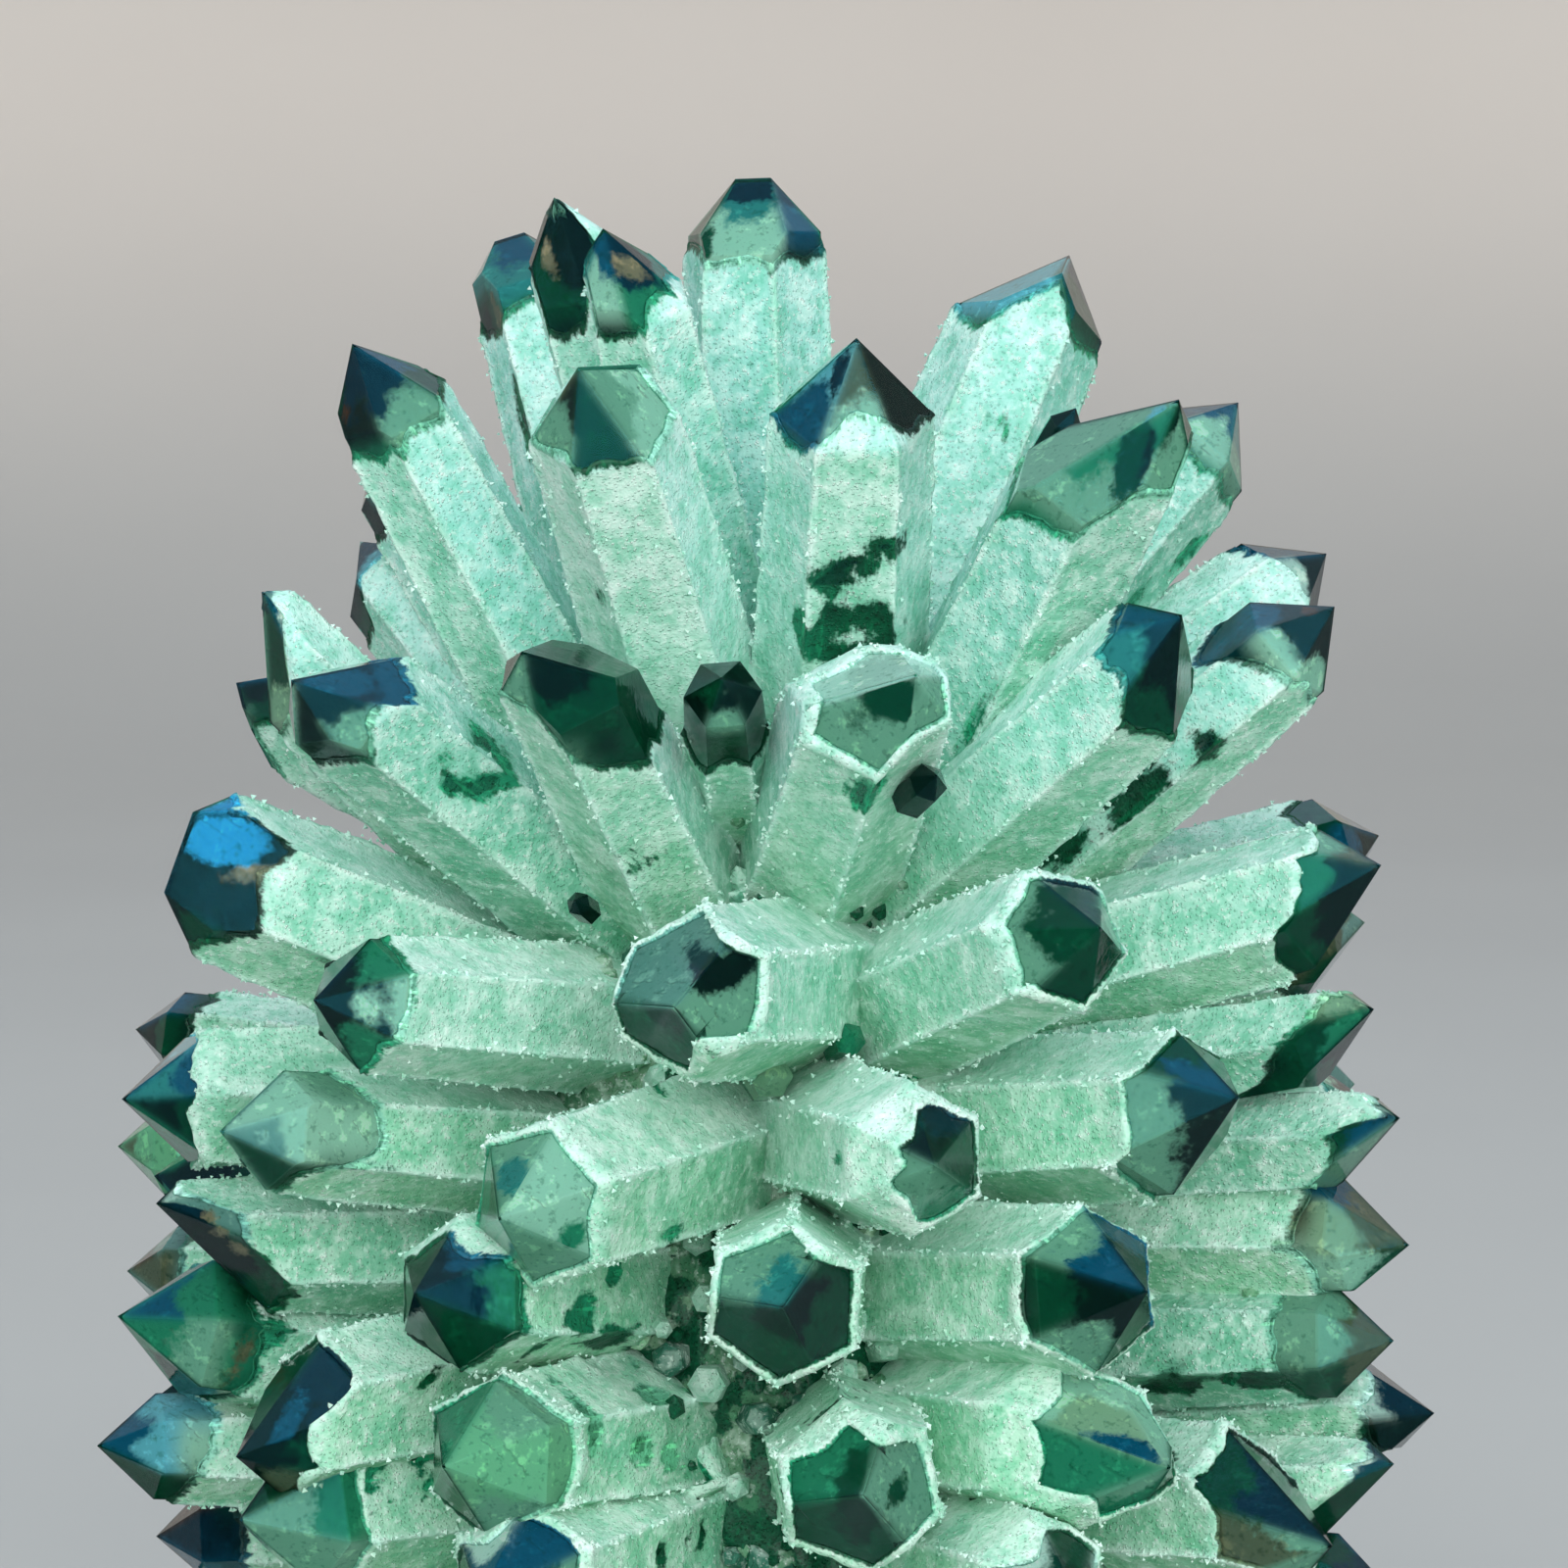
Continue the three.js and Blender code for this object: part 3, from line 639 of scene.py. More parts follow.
def crust_crystals():
    """The short crystals of the crust, square to the heart's surface."""
    crystals = []
    for n in range(CRUST_COUNT):
        height = mix(CRUST_FOOT, CRUST_TOP, n / (CRUST_COUNT - 1))
        elevation = math.degrees(math.atan2(heart_radius(height - 1) - heart_radius(height + 1), 2))
        azimuth = math.degrees(n * GOLDEN_ANGLE)
        foot = heading(azimuth, 0) * heart_radius(height) + np.array([0, 0, height])
        direction = heading(azimuth + 12 * scatter(n + 0.1), elevation + 12 * scatter(n + 0.2))
        crystals.append(Crystal(
            f"C{n}",
            foot - CRUST_DEPTH * direction,
            foot + (CRUST_REACH + 2 * scatter(n + 0.3)) * direction,
            CRUST_WIDTH + CRUST_WIDTH_SPREAD * scatter(n + 0.4),
            180 * scatter(n + 0.5),
            trims="040040",
        ))
    return crystals


def look_of(crystal, number):
    """The crystal's own look, or one of the common ones with its faces shifted round."""
    if crystal.name in LOOKS:
        return LOOKS[crystal.name]
    shift, kind = divmod(number, len(COMMON_LOOKS))
    shift %= SIDES
    *parts, ragged = COMMON_LOOKS[kind]
    return (*(part[shift:] + part[:shift] for part in parts), ragged)


class Mesh:
    """Points, faces and colours gathered from many closed shapes, made into one object at the end."""

    def __init__(self):
        self.points = []
        self.faces = []
        self.attributes = {}
        self.count = 0

    def add(self, points, faces, **attributes):
        """Adds a shape: points in millimetres, faces as an array or as a list of rings of numbers, and
        named numbers or colours for each point."""
        self.points.append(points)
        if isinstance(faces, np.ndarray):
            self.faces.append(faces + self.count)
        else:
            self.faces.extend([[n + self.count for n in face] for face in faces])
        for name, values in attributes.items():
            self.attributes.setdefault(name, []).append(values)
        self.count += len(points)

    def add_lumps(self, points, faces, tint, under, bare):
        """Adds frost that has no direction of its own. The tone under it and how bare it is may be the same
        all over."""
        under = np.broadcast_to(under, points.shape)
        bare = np.broadcast_to(bare, len(points))
        self.add(points, faces, tint=tint, under=under, bare=bare, way=points * MM)

    def make(self, name, material, smooth=True):
        """The object, kept within the box of the solid that it stands for, riding on its body."""
        low, high = np.array(CAD_BOX)
        points = np.clip(np.concatenate(self.points) * MM, low + 1e-5, high - 1e-5)
        mesh = bpy.data.meshes.new(name)
        mesh.from_pydata(points, [], self.all_faces())
        for key, parts in self.attributes.items():
            values = np.concatenate(parts)
            if values.ndim == 2:
                values = np.concatenate([values, np.ones((len(values), 1))], axis=1)
                kind, field = "FLOAT_COLOR", "color"
            else:
                kind, field = "FLOAT", "value"
            layer = mesh.attributes.new(key, kind, "POINT")
            layer.data.foreach_set(field, values.astype(np.float32).ravel())
        mesh.polygons.foreach_set("use_smooth", np.full(len(mesh.polygons), smooth))
        mesh.materials.append(material)
        mesh.update()
        piece = linked(name, mesh)
        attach(piece, "root")
        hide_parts(NODE)

    def all_faces(self):
        """Every face as a list of point numbers."""
        faces = []
        for part in self.faces:
            if isinstance(part, np.ndarray):
                faces.extend(part.tolist())
            else:
                faces.append(part)
        return faces


def grid_faces(rows, columns):
    """Faces of a grid that is wrapped round."""
    row = np.arange(rows - 1)[:, None] * columns
    column = np.arange(columns)
    beside = (column + 1) % columns
    quads = np.stack([row + column, row + columns + column, row + columns + beside, row + beside], axis=-1)
    return quads.reshape(-1, 4).tolist()


def wrapped_faces(rows, columns):
    """Faces of a closed skin: a grid that is wrapped round, with a pole before its first row and one after
    its last. Points are the rows in order and then the two poles."""
    column = np.arange(columns)
    beside = (column + 1) % columns
    top = np.full(columns, rows * columns)
    last = (rows - 1) * columns
    caps = np.concatenate([
        np.stack([top, column, beside], axis=1),
        np.stack([top + 1, last + beside, last + column], axis=1),
    ])
    return grid_faces(rows, columns) + caps.tolist()


def convex_body(normals, reaches):
    """Corners and faces of the convex body behind planes: every point that three planes share and none cuts
    off, and for each plane its corners in order round its normal."""
    triples = np.array(list(combinations(range(len(reaches)), 3)))
    planes = normals[triples]
    good = np.abs(np.linalg.det(planes)) > 1e-6
    points = np.linalg.solve(planes[good], reaches[triples[good]][..., None])[..., 0]
    points = points[(points @ normals.T - reaches < 1e-4).all(axis=1)]
    points = np.unique(np.round(points, 4), axis=0)
    faces = []
    for normal, reach in zip(normals, reaches):
        on = np.flatnonzero(np.abs(points @ normal - reach) < 5e-3)
        if len(on) < 3:
            continue
        middle = points[on].mean(axis=0)
        first = unit(np.cross(normal, np.array([0.31, 0.52, 0.79])))
        second = np.cross(normal, first)
        away = points[on] - middle
        order = np.argsort(np.arctan2(away @ second, away @ first))
        faces.append(on[order].tolist())
    return points, faces


def crystal_planes(crystal, side_inset, depth):
    """The planes of a crystal's clear part in its own frame: six sides, six end faces and a foot."""
    side = unit(with_z(crystal.outward, TAPER))
    end = with_z(END_SIN * crystal.outward, END_COS)
    side_reach = np.full(SIDES, (crystal.half - side_inset) * math.cos(TAPER_ANGLE))
    normals = np.concatenate([end, side, [[0.0, 0.0, -1.0]]])
    return normals, np.concatenate([crystal.end_reach, side_reach, [depth]])


def around(crystal, parts):
    """Places round a crystal in sides (0 is the middle of side 0) and the turns that they lie at."""
    place = (np.arange(SIDES)[:, None] + np.array(parts)).ravel()
    near = np.repeat(np.arange(SIDES), len(parts))
    turn = crystal.turns[0] + near * math.pi / 3 + np.arctan(2 * math.tan(math.pi / SIDES) * (place - near))
    return place, near, turn


def round_mix(values, place):
    """Six values, one for each side, mixed smoothly round the crystal."""
    values = np.asarray(values, float)
    low = np.floor(place).astype(int)
    share = ease(place - low)
    if values.ndim == 2:
        share = share[..., None]
    return mix(values[low % SIDES], values[(low + 1) % SIDES], share)


def lip_line(crystal, look, place, turn):
    """How far below the rim the frost begins: the look's six distances, made ragged. The same for all that
    is built on one crystal."""
    rim, height = crystal.rim(turn)
    spots = crystal.outside(with_z(rim, height))
    rough = 1.3 * clouds(spots, 4.5, 3) + 0.8 * clouds(spots, 1.5, 5) + 0.35 * clouds(spots, 0.6, 6)
    *_, edges, ragged = look
    rough = rough * ragged * (0.5 if crystal.name in RIMMED else 1.0)
    return np.maximum(round_mix(edges, place) + rough, -0.93 * crystal.climb(rim, height))


def oval(aside, along, half_length, half_width, lean):
    """1 in the middle of an oval, 0 on its edge, and less than 0 outside."""
    turn = math.radians(lean)
    u = aside * math.cos(turn) + along * math.sin(turn)
    v = along * math.cos(turn) - aside * math.sin(turn)
    return 1 - np.hypot(u / half_length, v / half_width)


def marks_of(crystal, points, down):
    """The colour and the strength of the marks on a crystal, each an oval on one end face or one side."""
    colour = np.zeros(points.shape)
    amount = np.zeros(points.shape[:-1])
    above = down <= 0
    flat = points[..., :2]
    for face, aside, along, half_length, half_width, lean, letter in MARKS.get(crystal.name, ()):
        out = crystal.outward[face % SIDES]
        over = np.array([-out[1], out[0]])
        if face < SIDES:
            away = flat - crystal.apex[:2]
            far = away @ out / END_COS
            there = above * (crystal.end_heights(flat).argmin(axis=-1) == face)
        else:
            away = flat
            far = down
            there = ~above * ((flat @ crystal.outward.T).argmax(axis=-1) == face % SIDES)
        inside = oval(away @ over - aside, far - along, half_length, half_width, lean)
        strength = np.clip(0.5 + inside * min(half_length, half_width) / 2.0, 0, 1) * there
        colour = np.where((strength > amount)[..., None], tone_values(letter)[0], colour)
        amount = np.maximum(amount, strength)
    return colour, amount


def tones_of(crystal, look, place, points, down):
    """The tones under the clear surface: one for the tip, one for the rim, how far the rim's has taken
    over, and the marks' colour and strength. Below the rim both tones turn into the body's."""
    tips, rims, bodies = (tone_values(letters) for letters in look[:3])
    heights = crystal.end_heights(points[..., :2])
    nearness = np.exp(-(heights - heights.min(axis=-1, keepdims=True)) / 0.3)
    nearness = nearness / nearness.sum(axis=-1, keepdims=True)
    ordered = np.sort(heights, axis=-1)
    edge = np.exp(-((ordered[..., 1] - ordered[..., 0]) / 1.3) ** 2)
    out = 1 + np.minimum(down, 0) / crystal.face_length
    world = crystal.outside(points)
    pale = (out - 0.12 * edge + 0.26 * clouds(world, 4.0, 63) - 0.36) / 0.36
    body = round_mix(bodies, np.broadcast_to(place, down.shape))
    smoky = np.clip(0.4 + 0.9 * clouds(world, 3.0, 67), 0, 0.75)[..., None]
    body = mix(body, tone_values("k")[0], smoky * (1 - ease(body[..., 1:2] / 0.5)))
    share = ease(down / 3.5)[..., None]
    tip_tone = mix(nearness @ tips, body, share)
    rim_tone = mix(nearness @ rims, body, share)
    return (tip_tone, rim_tone, np.clip(pale, 0, 1), *marks_of(crystal, points, down))


def mixed_tone(tip_tone, rim_tone, pale, mark, marked):
    """One colour from the tones of a crystal."""
    return mix(mix(tip_tone, rim_tone, ease(pale)[..., None]), mark, ease(marked)[..., None])


def phantom_skin(crystal, look, parts, step, shape):
    """The phantom as a closed skin just inside the crystal's clear end, down to where the frost hides it.
    Its parameters are the turn round the axis, and the share of the way up to the tip above the rim or the
    distance down below it."""
    inner = crystal.shrunk(mm(shape.phantom_depth), mm(shape.phantom_inset))
    place, _, turn = around(crystal, parts)
    lowest = lip_line(crystal, look, place, turn).max() + PHANTOM_OVERLAP
    rows = max(int(crystal.face_length / step), 4)
    share = (1 - np.arange(1, rows) / rows)[:, None]
    below = np.arange(0, max(lowest, 1.5) + LOW_PHANTOM_STEP, LOW_PHANTOM_STEP)[:, None]
    distance = np.concatenate([-share * inner.climb(*inner.rim(turn)), below + 0 * turn])
    points, _ = inner.skin(np.broadcast_to(turn, distance.shape), distance)
    layers = tones_of(inner, look, place, points, distance)
    tip = inner.apex[None].copy()
    tip[0, 2] = inner.end_heights(inner.apex[:2]).min()
    foot = np.array([[0, 0, points[-1][:, 2].min()]])
    points = np.concatenate([points.reshape(-1, 3), tip, foot])
    names = ("tip_tone", "rim_tone", "pale", "mark", "marked")
    layers = {
        name: np.concatenate([layer.reshape((-1,) + layer.shape[2:]), layer[0, :1], layer[-1, :1]])
        for name, layer in zip(names, layers)
    }
    return crystal.outside(points), wrapped_faces(*distance.shape), layers


def frost_sheath(crystal, look, parts, step, shape, rng):
    """The frost round a crystal as a closed skin. Its parameters are the turn round the axis and the
    distance down from the frost's ragged lip. The frost lies flush with the clear end or rises from it in a
    rim. Thin ridges of grains stand up along the prism's edges, and bare places lie a little deeper."""
    place, near, turn = around(crystal, parts)
    lip = lip_line(crystal, look, place, turn)
    length = crystal.bare_length()
    rimmed = crystal.name in RIMMED or crystal.name[0] == "C"
    down = np.concatenate([LIP_ROWS, np.arange(LIP_ROWS[-1] + step, max(length, 8.0), step)])
    turns = np.broadcast_to(turn, (len(down), len(turn)))
    distance = lip + down[:, None]
    points, normals = crystal.skin(turns, distance)
    world = crystal.outside(points)
    rows = down[:, None]

    beside = (0.5 - np.abs(place - near)) * crystal.side_length
    ridge = np.exp(-(beside / 0.5) ** 2) * ease(distance / 2 + 0.5)
    wander = clouds(world, 3.6, 11)
    crumbs = clouds(world, 1.2, 13)
    lengthwise = with_z(np.stack([turns * crystal.half, distance * 0.14], axis=-1), crystal.half * 7)
    streak = clouds(lengthwise, 1.5, 17)
    level = 0.14 * (distance < 0.3)
    raised = mm(shape.lip_height) * np.exp(-((rows - 1.1) / 1.3) ** 2) if rimmed else 0.0
    rough = 0.10 * wander + 0.09 * crumbs + 0.06 * streak + 0.05 * clouds(world, 0.6, 14)
    lift = level + raised * (1 + 0.6 * crumbs) + ease(rows / 1.0) * rough
    lift = lift + ridge * mm(shape.ridge_height) * (1 + 0.6 * crumbs)
    lift = lift + mm(shape.grain) * rng.normal(0, 1, lift.shape) * (0.5 + ridge)

    softness = 0.5 if rimmed else 2.4
    bare = np.clip(1.0 - rows / softness, 0, 1) * np.ones_like(lift)
    for where, below, half_round, half_along, kind in WINDOWS.get(crystal.name, ()):
        aside = ((place - where + SIDES / 2) % SIDES - SIDES / 2) * crystal.side_length
        spot = 1 - np.hypot(aside / half_round, (distance - below) / half_along)
        spot = spot + 0.35 * clouds(world, 2.4, 23) + 0.35 * clouds(lengthwise, 0.9, 24)
        inside = np.clip(0.5 + spot * min(half_round, half_along) / 2.4, 0, 1)
        bare = np.maximum(bare, inside) if kind > 0 else np.minimum(bare, 1 - inside)
    if crystal.name in CRUSTY:
        holes = clouds(world, 3.4, 25, 2) - 0.22 - 0.25 * ease((world[..., 2] - 90) / 30)
        bare = np.maximum(bare, np.clip(holes / 0.35, 0, 1) * ease((rows - 9) / 8))
        lift = lift + 0.7 * np.maximum(clouds(world, 2.2, 27), 0) * ease((rows - 6) / 8)
    lift = lift - 0.35 * ease(bare * 1.6 - 0.5) * (distance > 0.5)

    lift = mix(-0.15, lift, ease(rows / 0.3))
    inner = [points[0] - normals[0] * shape.dive * crystal.half * part for part in (1.0, 0.5)]
    skin = points + normals * lift[..., None]
    body = np.concatenate([np.stack(inner), skin])
    middle = inner[0].mean(axis=0)
    top = np.array([middle[0], middle[1], inner[0][:, 2].min() - 1.0])
    foot = np.array([0.0, 0.0, body[-1][:, 2].min() - 0.5])
    everything = np.concatenate([body.reshape(-1, 3), [top, foot]])

    upward = crystal.turned(normals)[..., 2]
    tint = frost_tint(crystal, world, distance, rows, ridge, wander, streak, length, rimmed, upward, rng)
    under = mixed_tone(*tones_of(crystal, look, place, points, distance)) * np.array([0.55, 0.78, 0.74])
    layers = {}
    for name, layer in {"tint": tint, "under": under, "bare": bare, "way": lengthwise * MM}.items():
        flat = np.concatenate([layer[:1], layer[:1], layer]).reshape((-1,) + layer.shape[2:])
        layers[name] = np.concatenate([flat, flat[:1], flat[-1:]])
    grains = {
        "points": crystal.outside(skin), "tint": tint,
        "weight": (0.15 + 1.5 * ridge + (1.2 if rimmed else 0.2) * np.exp(-rows / 2.0)) * (bare < 0.1)
                  * (rows > 0.3) * (rows < length - 4),
    }
    return crystal.outside(everything), wrapped_faces(*body.shape[:2]), layers, grains


def frost_tint(crystal, world, distance, rows, ridge, wander, streak, length, rimmed, upward, rng):
    """The frost's colour at each point: cool mint out at the ends and up high, greener and duller towards
    the root and the foot of the cluster (partly its own colour, partly painted shade among the crystals),
    paler on faces that look up (painted light from above), greener and darker on faces that look down
    (painted shade), paler on ridges and rims, and darker in random patches and along streaks. Single
    crystals are paler or deeper all over."""
    mint, moss, pale, deep, leaf = (paint("frost_" + name) for name in "mint moss pale deep leaf".split())
    out = np.clip(1 - distance / max(length, 20), 0, 1)
    # greener low down: partly the frost's own colour, partly painted shade on the lower crystals
    high = ease((world[..., 2] - 95) / 90)[..., None]
    tint = mix(leaf, mint, high)
    # duller towards the root: partly the frost's own colour, partly painted shade among the crystals
    tint = mix(moss, tint, ease(0.12 + 1.15 * out + 0.12 * wander)[..., None])
    tint = tint * (1 + 0.06 * rng.uniform(-1, 1))
    # painted light: paler on faces that look up
    tint = mix(tint, pale, 0.50 * ease(upward * 1.3)[..., None])
    # painted shade: greener and darker on faces that look down
    tint = mix(tint, leaf * np.array([1.0, 0.92, 0.86]), 0.60 * ease(-upward * 1.5)[..., None])
    shade = 0.30 * -clouds(world, 5.0, 29) + 0.14 * clouds(world, 1.9, 31) - 0.14 * streak
    tint = mix(tint, deep, np.clip(shade, 0, 0.5)[..., None])
    edge = (0.35 if rimmed else 0.10) * np.exp(-((rows - 1.0) / 1.5) ** 2)
    tint = mix(tint, pale, np.clip(0.75 * ridge + edge + 0.30 * np.clip(wander, 0, 1), 0, 0.85)[..., None])
    shade = SHADES.get(crystal.name, 0)
    return mix(tint, pale, shade) if shade > 0 else mix(tint, deep * 0.8, -shade)


def druse_lumps(centres, size, tints, bare, rng):
    """Rounded knobs of druse: twenty-sided bodies, each pulled out of shape at random."""
    points, faces = convex_body(*icosahedron_planes())
    corners = len(points)
    count = len(centres)
    pulled = points / 1.26 * rng.uniform(0.65, 1.25, (count, corners, 1)) * size[:, None, None]
    faces = (np.array(faces) + corners * np.arange(count)[:, None, None]).reshape(-1, 3)
    points = (centres[:, None] + pulled).reshape(-1, 3)
    return points, faces, np.repeat(tints, corners, axis=0), np.repeat(bare, corners)


def icosahedron_planes():
    """The planes of a twenty-sided body: one through every three corners that are nearest neighbours. Its
    corners are those of three golden rectangles that stand square to each other."""
    golden = (1 + math.sqrt(5)) / 2
    rectangle = [(short, long * golden) for long in (1, -1) for short in (-1, 1)]
    corners = [(a, b, 0) for a, b in rectangle] + [(0, a, b) for a, b in rectangle]
    corners = unit(np.array(corners + [(b, 0, a) for a, b in rectangle]))
    gaps = np.linalg.norm(corners[:, None] - corners[None], axis=-1)
    side = gaps[gaps > 0].min() * 1.01
    triples = [
        (i, j, k) for i, j, k in combinations(range(len(corners)), 3)
        if max(gaps[i, j], gaps[j, k], gaps[i, k]) < side
    ]
    middles = corners[np.array(triples)].mean(axis=1)
    return unit(middles), np.linalg.norm(middles, axis=1)


def grain_lumps(centres, tints, radius, rng):
    """Grains of frost: small pointed lumps with four faces, each turned and sized at random."""
    count = len(centres)
    first = unit(rng.normal(0, 1, (count, 3)))
    second = unit(np.cross(first, rng.normal(0, 1, (count, 3))))
    third = np.cross(first, second)
    size = radius * rng.uniform(0.5, 1.4, (count, 1))
    corners = np.stack([
        centres + (first + second + third) * size, centres + (first - second - third) * size,
        centres + (second - first - third) * size, centres + (third - first - second) * size,
    ], axis=1)
    faces = np.array([(0, 1, 2), (0, 3, 1), (0, 2, 3), (1, 3, 2)])
    faces = (faces + 4 * np.arange(count)[:, None, None]).reshape(-1, 3)
    return corners.reshape(-1, 3), faces, np.repeat(tints, 4, axis=0)


class Field:
    """A value that varies over a surface: an output socket that takes Python's operators."""

    def __init__(self, graph, socket):
        self.graph = graph
        self.socket = socket

    def __add__(self, other):
        return self.graph.math("ADD", self, other)

    __radd__ = __add__

    def __sub__(self, other):
        return self.graph.math("SUBTRACT", self, other)

    def __rsub__(self, other):
        return self.graph.math("SUBTRACT", other, self)

    def __mul__(self, other):
        return self.graph.math("MULTIPLY", self, other)

    __rmul__ = __mul__


class Graph:
    """The nodes of one material or world."""

    def __init__(self, owner):
        owner.use_nodes = True
        self.tree = owner.node_tree
        self.tree.nodes.clear()

    def node(self, kind, settings=None, inputs=None, output=0):
        """Adds a node: its settings first, then the value or link of each named socket, and gives one
        output."""
        node = self.tree.nodes.new(kind)
        for key, value in (settings or {}).items():
            setattr(node, key, value)
        for key, value in (inputs or {}).items():
            if isinstance(value, Field):
                self.tree.links.new(value.socket, node.inputs[key])
            else:
                node.inputs[key].default_value = value
        return Field(self, node.outputs[output]) if node.outputs else None

    def math(self, operation, a, b):
        """A Math node on two values."""
        return self.node("ShaderNodeMath", {"operation": operation}, {0: a, 1: b})

    def rise(self, value, low, high):
        """0 below low, 1 above high, with a soft rise between."""
        return self.node("ShaderNodeMapRange", {"interpolation_type": "SMOOTHSTEP"}, {
            "Value": value, "From Min": low, "From Max": high,
        })

    def blend(self, a, b, amount, kind="MIX"):
        """Blends the second colour into the first."""
        return self.node("ShaderNodeMix", {"data_type": "RGBA", "blend_type": kind}, {
            0: amount, 6: self.colour(a), 7: self.colour(b),
        }, output=2)

    def dyed(self, colour, dye, amount):
        """A colour multiplied by a dye, by an amount."""
        return self.blend(colour, self.blend(colour, dye, 1.0, "MULTIPLY"), amount)

    def colour(self, value):
        """A colour for a socket: three numbers get an alpha of 1."""
        return value if isinstance(value, Field) else (*value, 1.0)

    def attribute(self, name, output=0):
        """A colour (output 0), a vector (1) or a number (2) stored on the mesh."""
        return self.node("ShaderNodeAttribute", {"attribute_name": name}, output=output)

    def noise(self, place, size, detail=2.0, roughness=0.5):
        """Noise with features of a size in metres."""
        return self.node("ShaderNodeTexNoise", {}, {
            "Vector": place, "Scale": 1 / size, "Detail": detail, "Roughness": roughness,
        })

    def cells(self, place, size, feature="F1"):
        """Cells of a size in metres: the distance to the nearest centre, or to the edge of the cell."""
        return self.node("ShaderNodeTexVoronoi", {"feature": feature}, {
            "Vector": place, "Scale": 1 / size,
        })

    def place(self):
        """Object coordinates."""
        return self.node("ShaderNodeTexCoord", output=3)

    def part(self, vector, number):
        """The x (0), y (1) or z (2) of a vector."""
        return self.node("ShaderNodeSeparateXYZ", {}, {0: vector}, number)

    def bump(self, height, distance, strength):
        """A normal that follows a height."""
        return self.node("ShaderNodeBump", {}, {
            "Height": height, "Distance": distance, "Strength": strength,
        })

    def surface(self, inputs, volume=None):
        """The Principled shader and the output, with a volume if one is given."""
        shader = self.node("ShaderNodeBsdfPrincipled", {}, inputs)
        ends = {"Surface": shader}
        if volume is not None:
            ends["Volume"] = volume
        self.node("ShaderNodeOutputMaterial", {}, ends)


def frost_material():
    """Sugary frost: the tint stored on the mesh, speckled by grains half a millimetre across that catch the
    light and have their glints painted white into the colour, with painted shade in the low spots of its
    fine bumps and painted highlights on their tops, and with glossy places of the stored under tone
    wherever the frost is bare."""
    material = bpy.data.materials.new("sugar_frost")
    g = Graph(material)
    place = g.place()
    fine = g.noise(place, 0.0011, 2.0, 0.7)
    patchy = g.noise(place, 0.0040, 2.0, 0.6)
    streak = g.noise(g.attribute("way", output=1), 0.0007, 2.0, 0.6)
    grain = g.cells(place, 0.00050)
    glint = g.rise(grain, 0.38, 0.10)
    mask = g.attribute("bare", output=2) + 0.8 * (fine - 0.5) + 0.8 * (streak - 0.5)
    bare = g.rise(mask, 0.30, 0.66)
    frost = g.attribute("tint")
    dull = 0.62 * g.rise(patchy, 0.54, 0.36) + 0.30 * g.rise(streak, 0.46, 0.32)
    frost = g.dyed(frost, (0.50, 0.80, 0.68), dull)
    # painted shade: darker in the low spots of the fine bumps
    hollow = 0.50 * g.rise(fine, 0.46, 0.30)
    frost = g.dyed(frost, (0.55, 0.80, 0.70), hollow)
    # white snow in random patches, plus painted highlights: whiter on the tops of the fine bumps and
    # painted glints on the grains
    snow = 0.26 * g.rise(patchy, 0.52, 0.64)
    sugar = snow + 0.40 * g.rise(fine, 0.50, 0.72) + 0.65 * glint * g.rise(fine, 0.46, 0.60)
    frost = g.blend(frost, (0.88, 1.0, 0.95), sugar)
    under = g.dyed(g.attribute("under"), (0.30, 0.42, 0.36), 0.8 * g.rise(fine, 0.50, 0.66))
    under = g.dyed(under, (2.6, 2.4, 2.2), 0.6 * g.rise(streak, 0.52, 0.66))
    g.surface({
        "Base Color": g.blend(frost, under, bare),
        "Roughness": 0.68 - 0.30 * glint - 0.20 * bare,
        "Coat Weight": 0.15 * bare,
        "Coat Roughness": 0.10,
        "Coat Tint": (0.7, 1.0, 0.95, 1.0),
        "Specular IOR Level": 0.35,
        "Specular Tint": (0.50, 1.0, 0.80, 1.0),
        "Normal": g.bump(0.9 * fine + 0.5 * glint, 0.00028, 1.0),
    })
    return material


def phantom_material():
    """The phantom inside a clear end: its stored tone, whose blue tones are painted reflections of the sky,
    with dark flecks, pale veils and fine cracks.
    """
    material = bpy.data.materials.new("phantom_green")
    g = Graph(material)
    place = g.place()
    fleck = g.noise(place, 0.0010, 2.0, 0.65)
    veil = g.noise(place, 0.0026, 3.0, 0.7)
    ragged = 1.0 * (veil - 0.5) + 0.9 * (fleck - 0.5)
    pale = g.rise(g.attribute("pale", output=2) + ragged, 0.16, 0.84)
    colour = g.blend(g.attribute("tip_tone"), g.attribute("rim_tone"), pale)
    marked = g.rise(g.attribute("marked", output=2) + ragged, 0.24, 0.76)
    colour = g.blend(colour, g.attribute("mark"), marked)
    colour = g.dyed(colour, (0.30, 0.48, 0.42), 0.55 * g.rise(fleck, 0.55, 0.70))
    colour = g.dyed(colour, (2.2, 1.8, 1.7), 0.60 * g.rise(veil, 0.54, 0.68))
    crack = g.cells(place + 0.0012 * veil, 0.0070, "DISTANCE_TO_EDGE")
    split = 0.40 * g.rise(crack, 0.020, 0.0) * g.rise(veil, 0.48, 0.58)
    colour = g.blend(colour, (0.002, 0.04, 0.028), split)
    g.surface({
        "Base Color": colour,
        "Roughness": 0.55 + 0.3 * fleck,
        "Specular IOR Level": 0.05,
        "Normal": g.bump(veil + 0.4 * fleck, 0.0006, 0.4),
    })
    return material


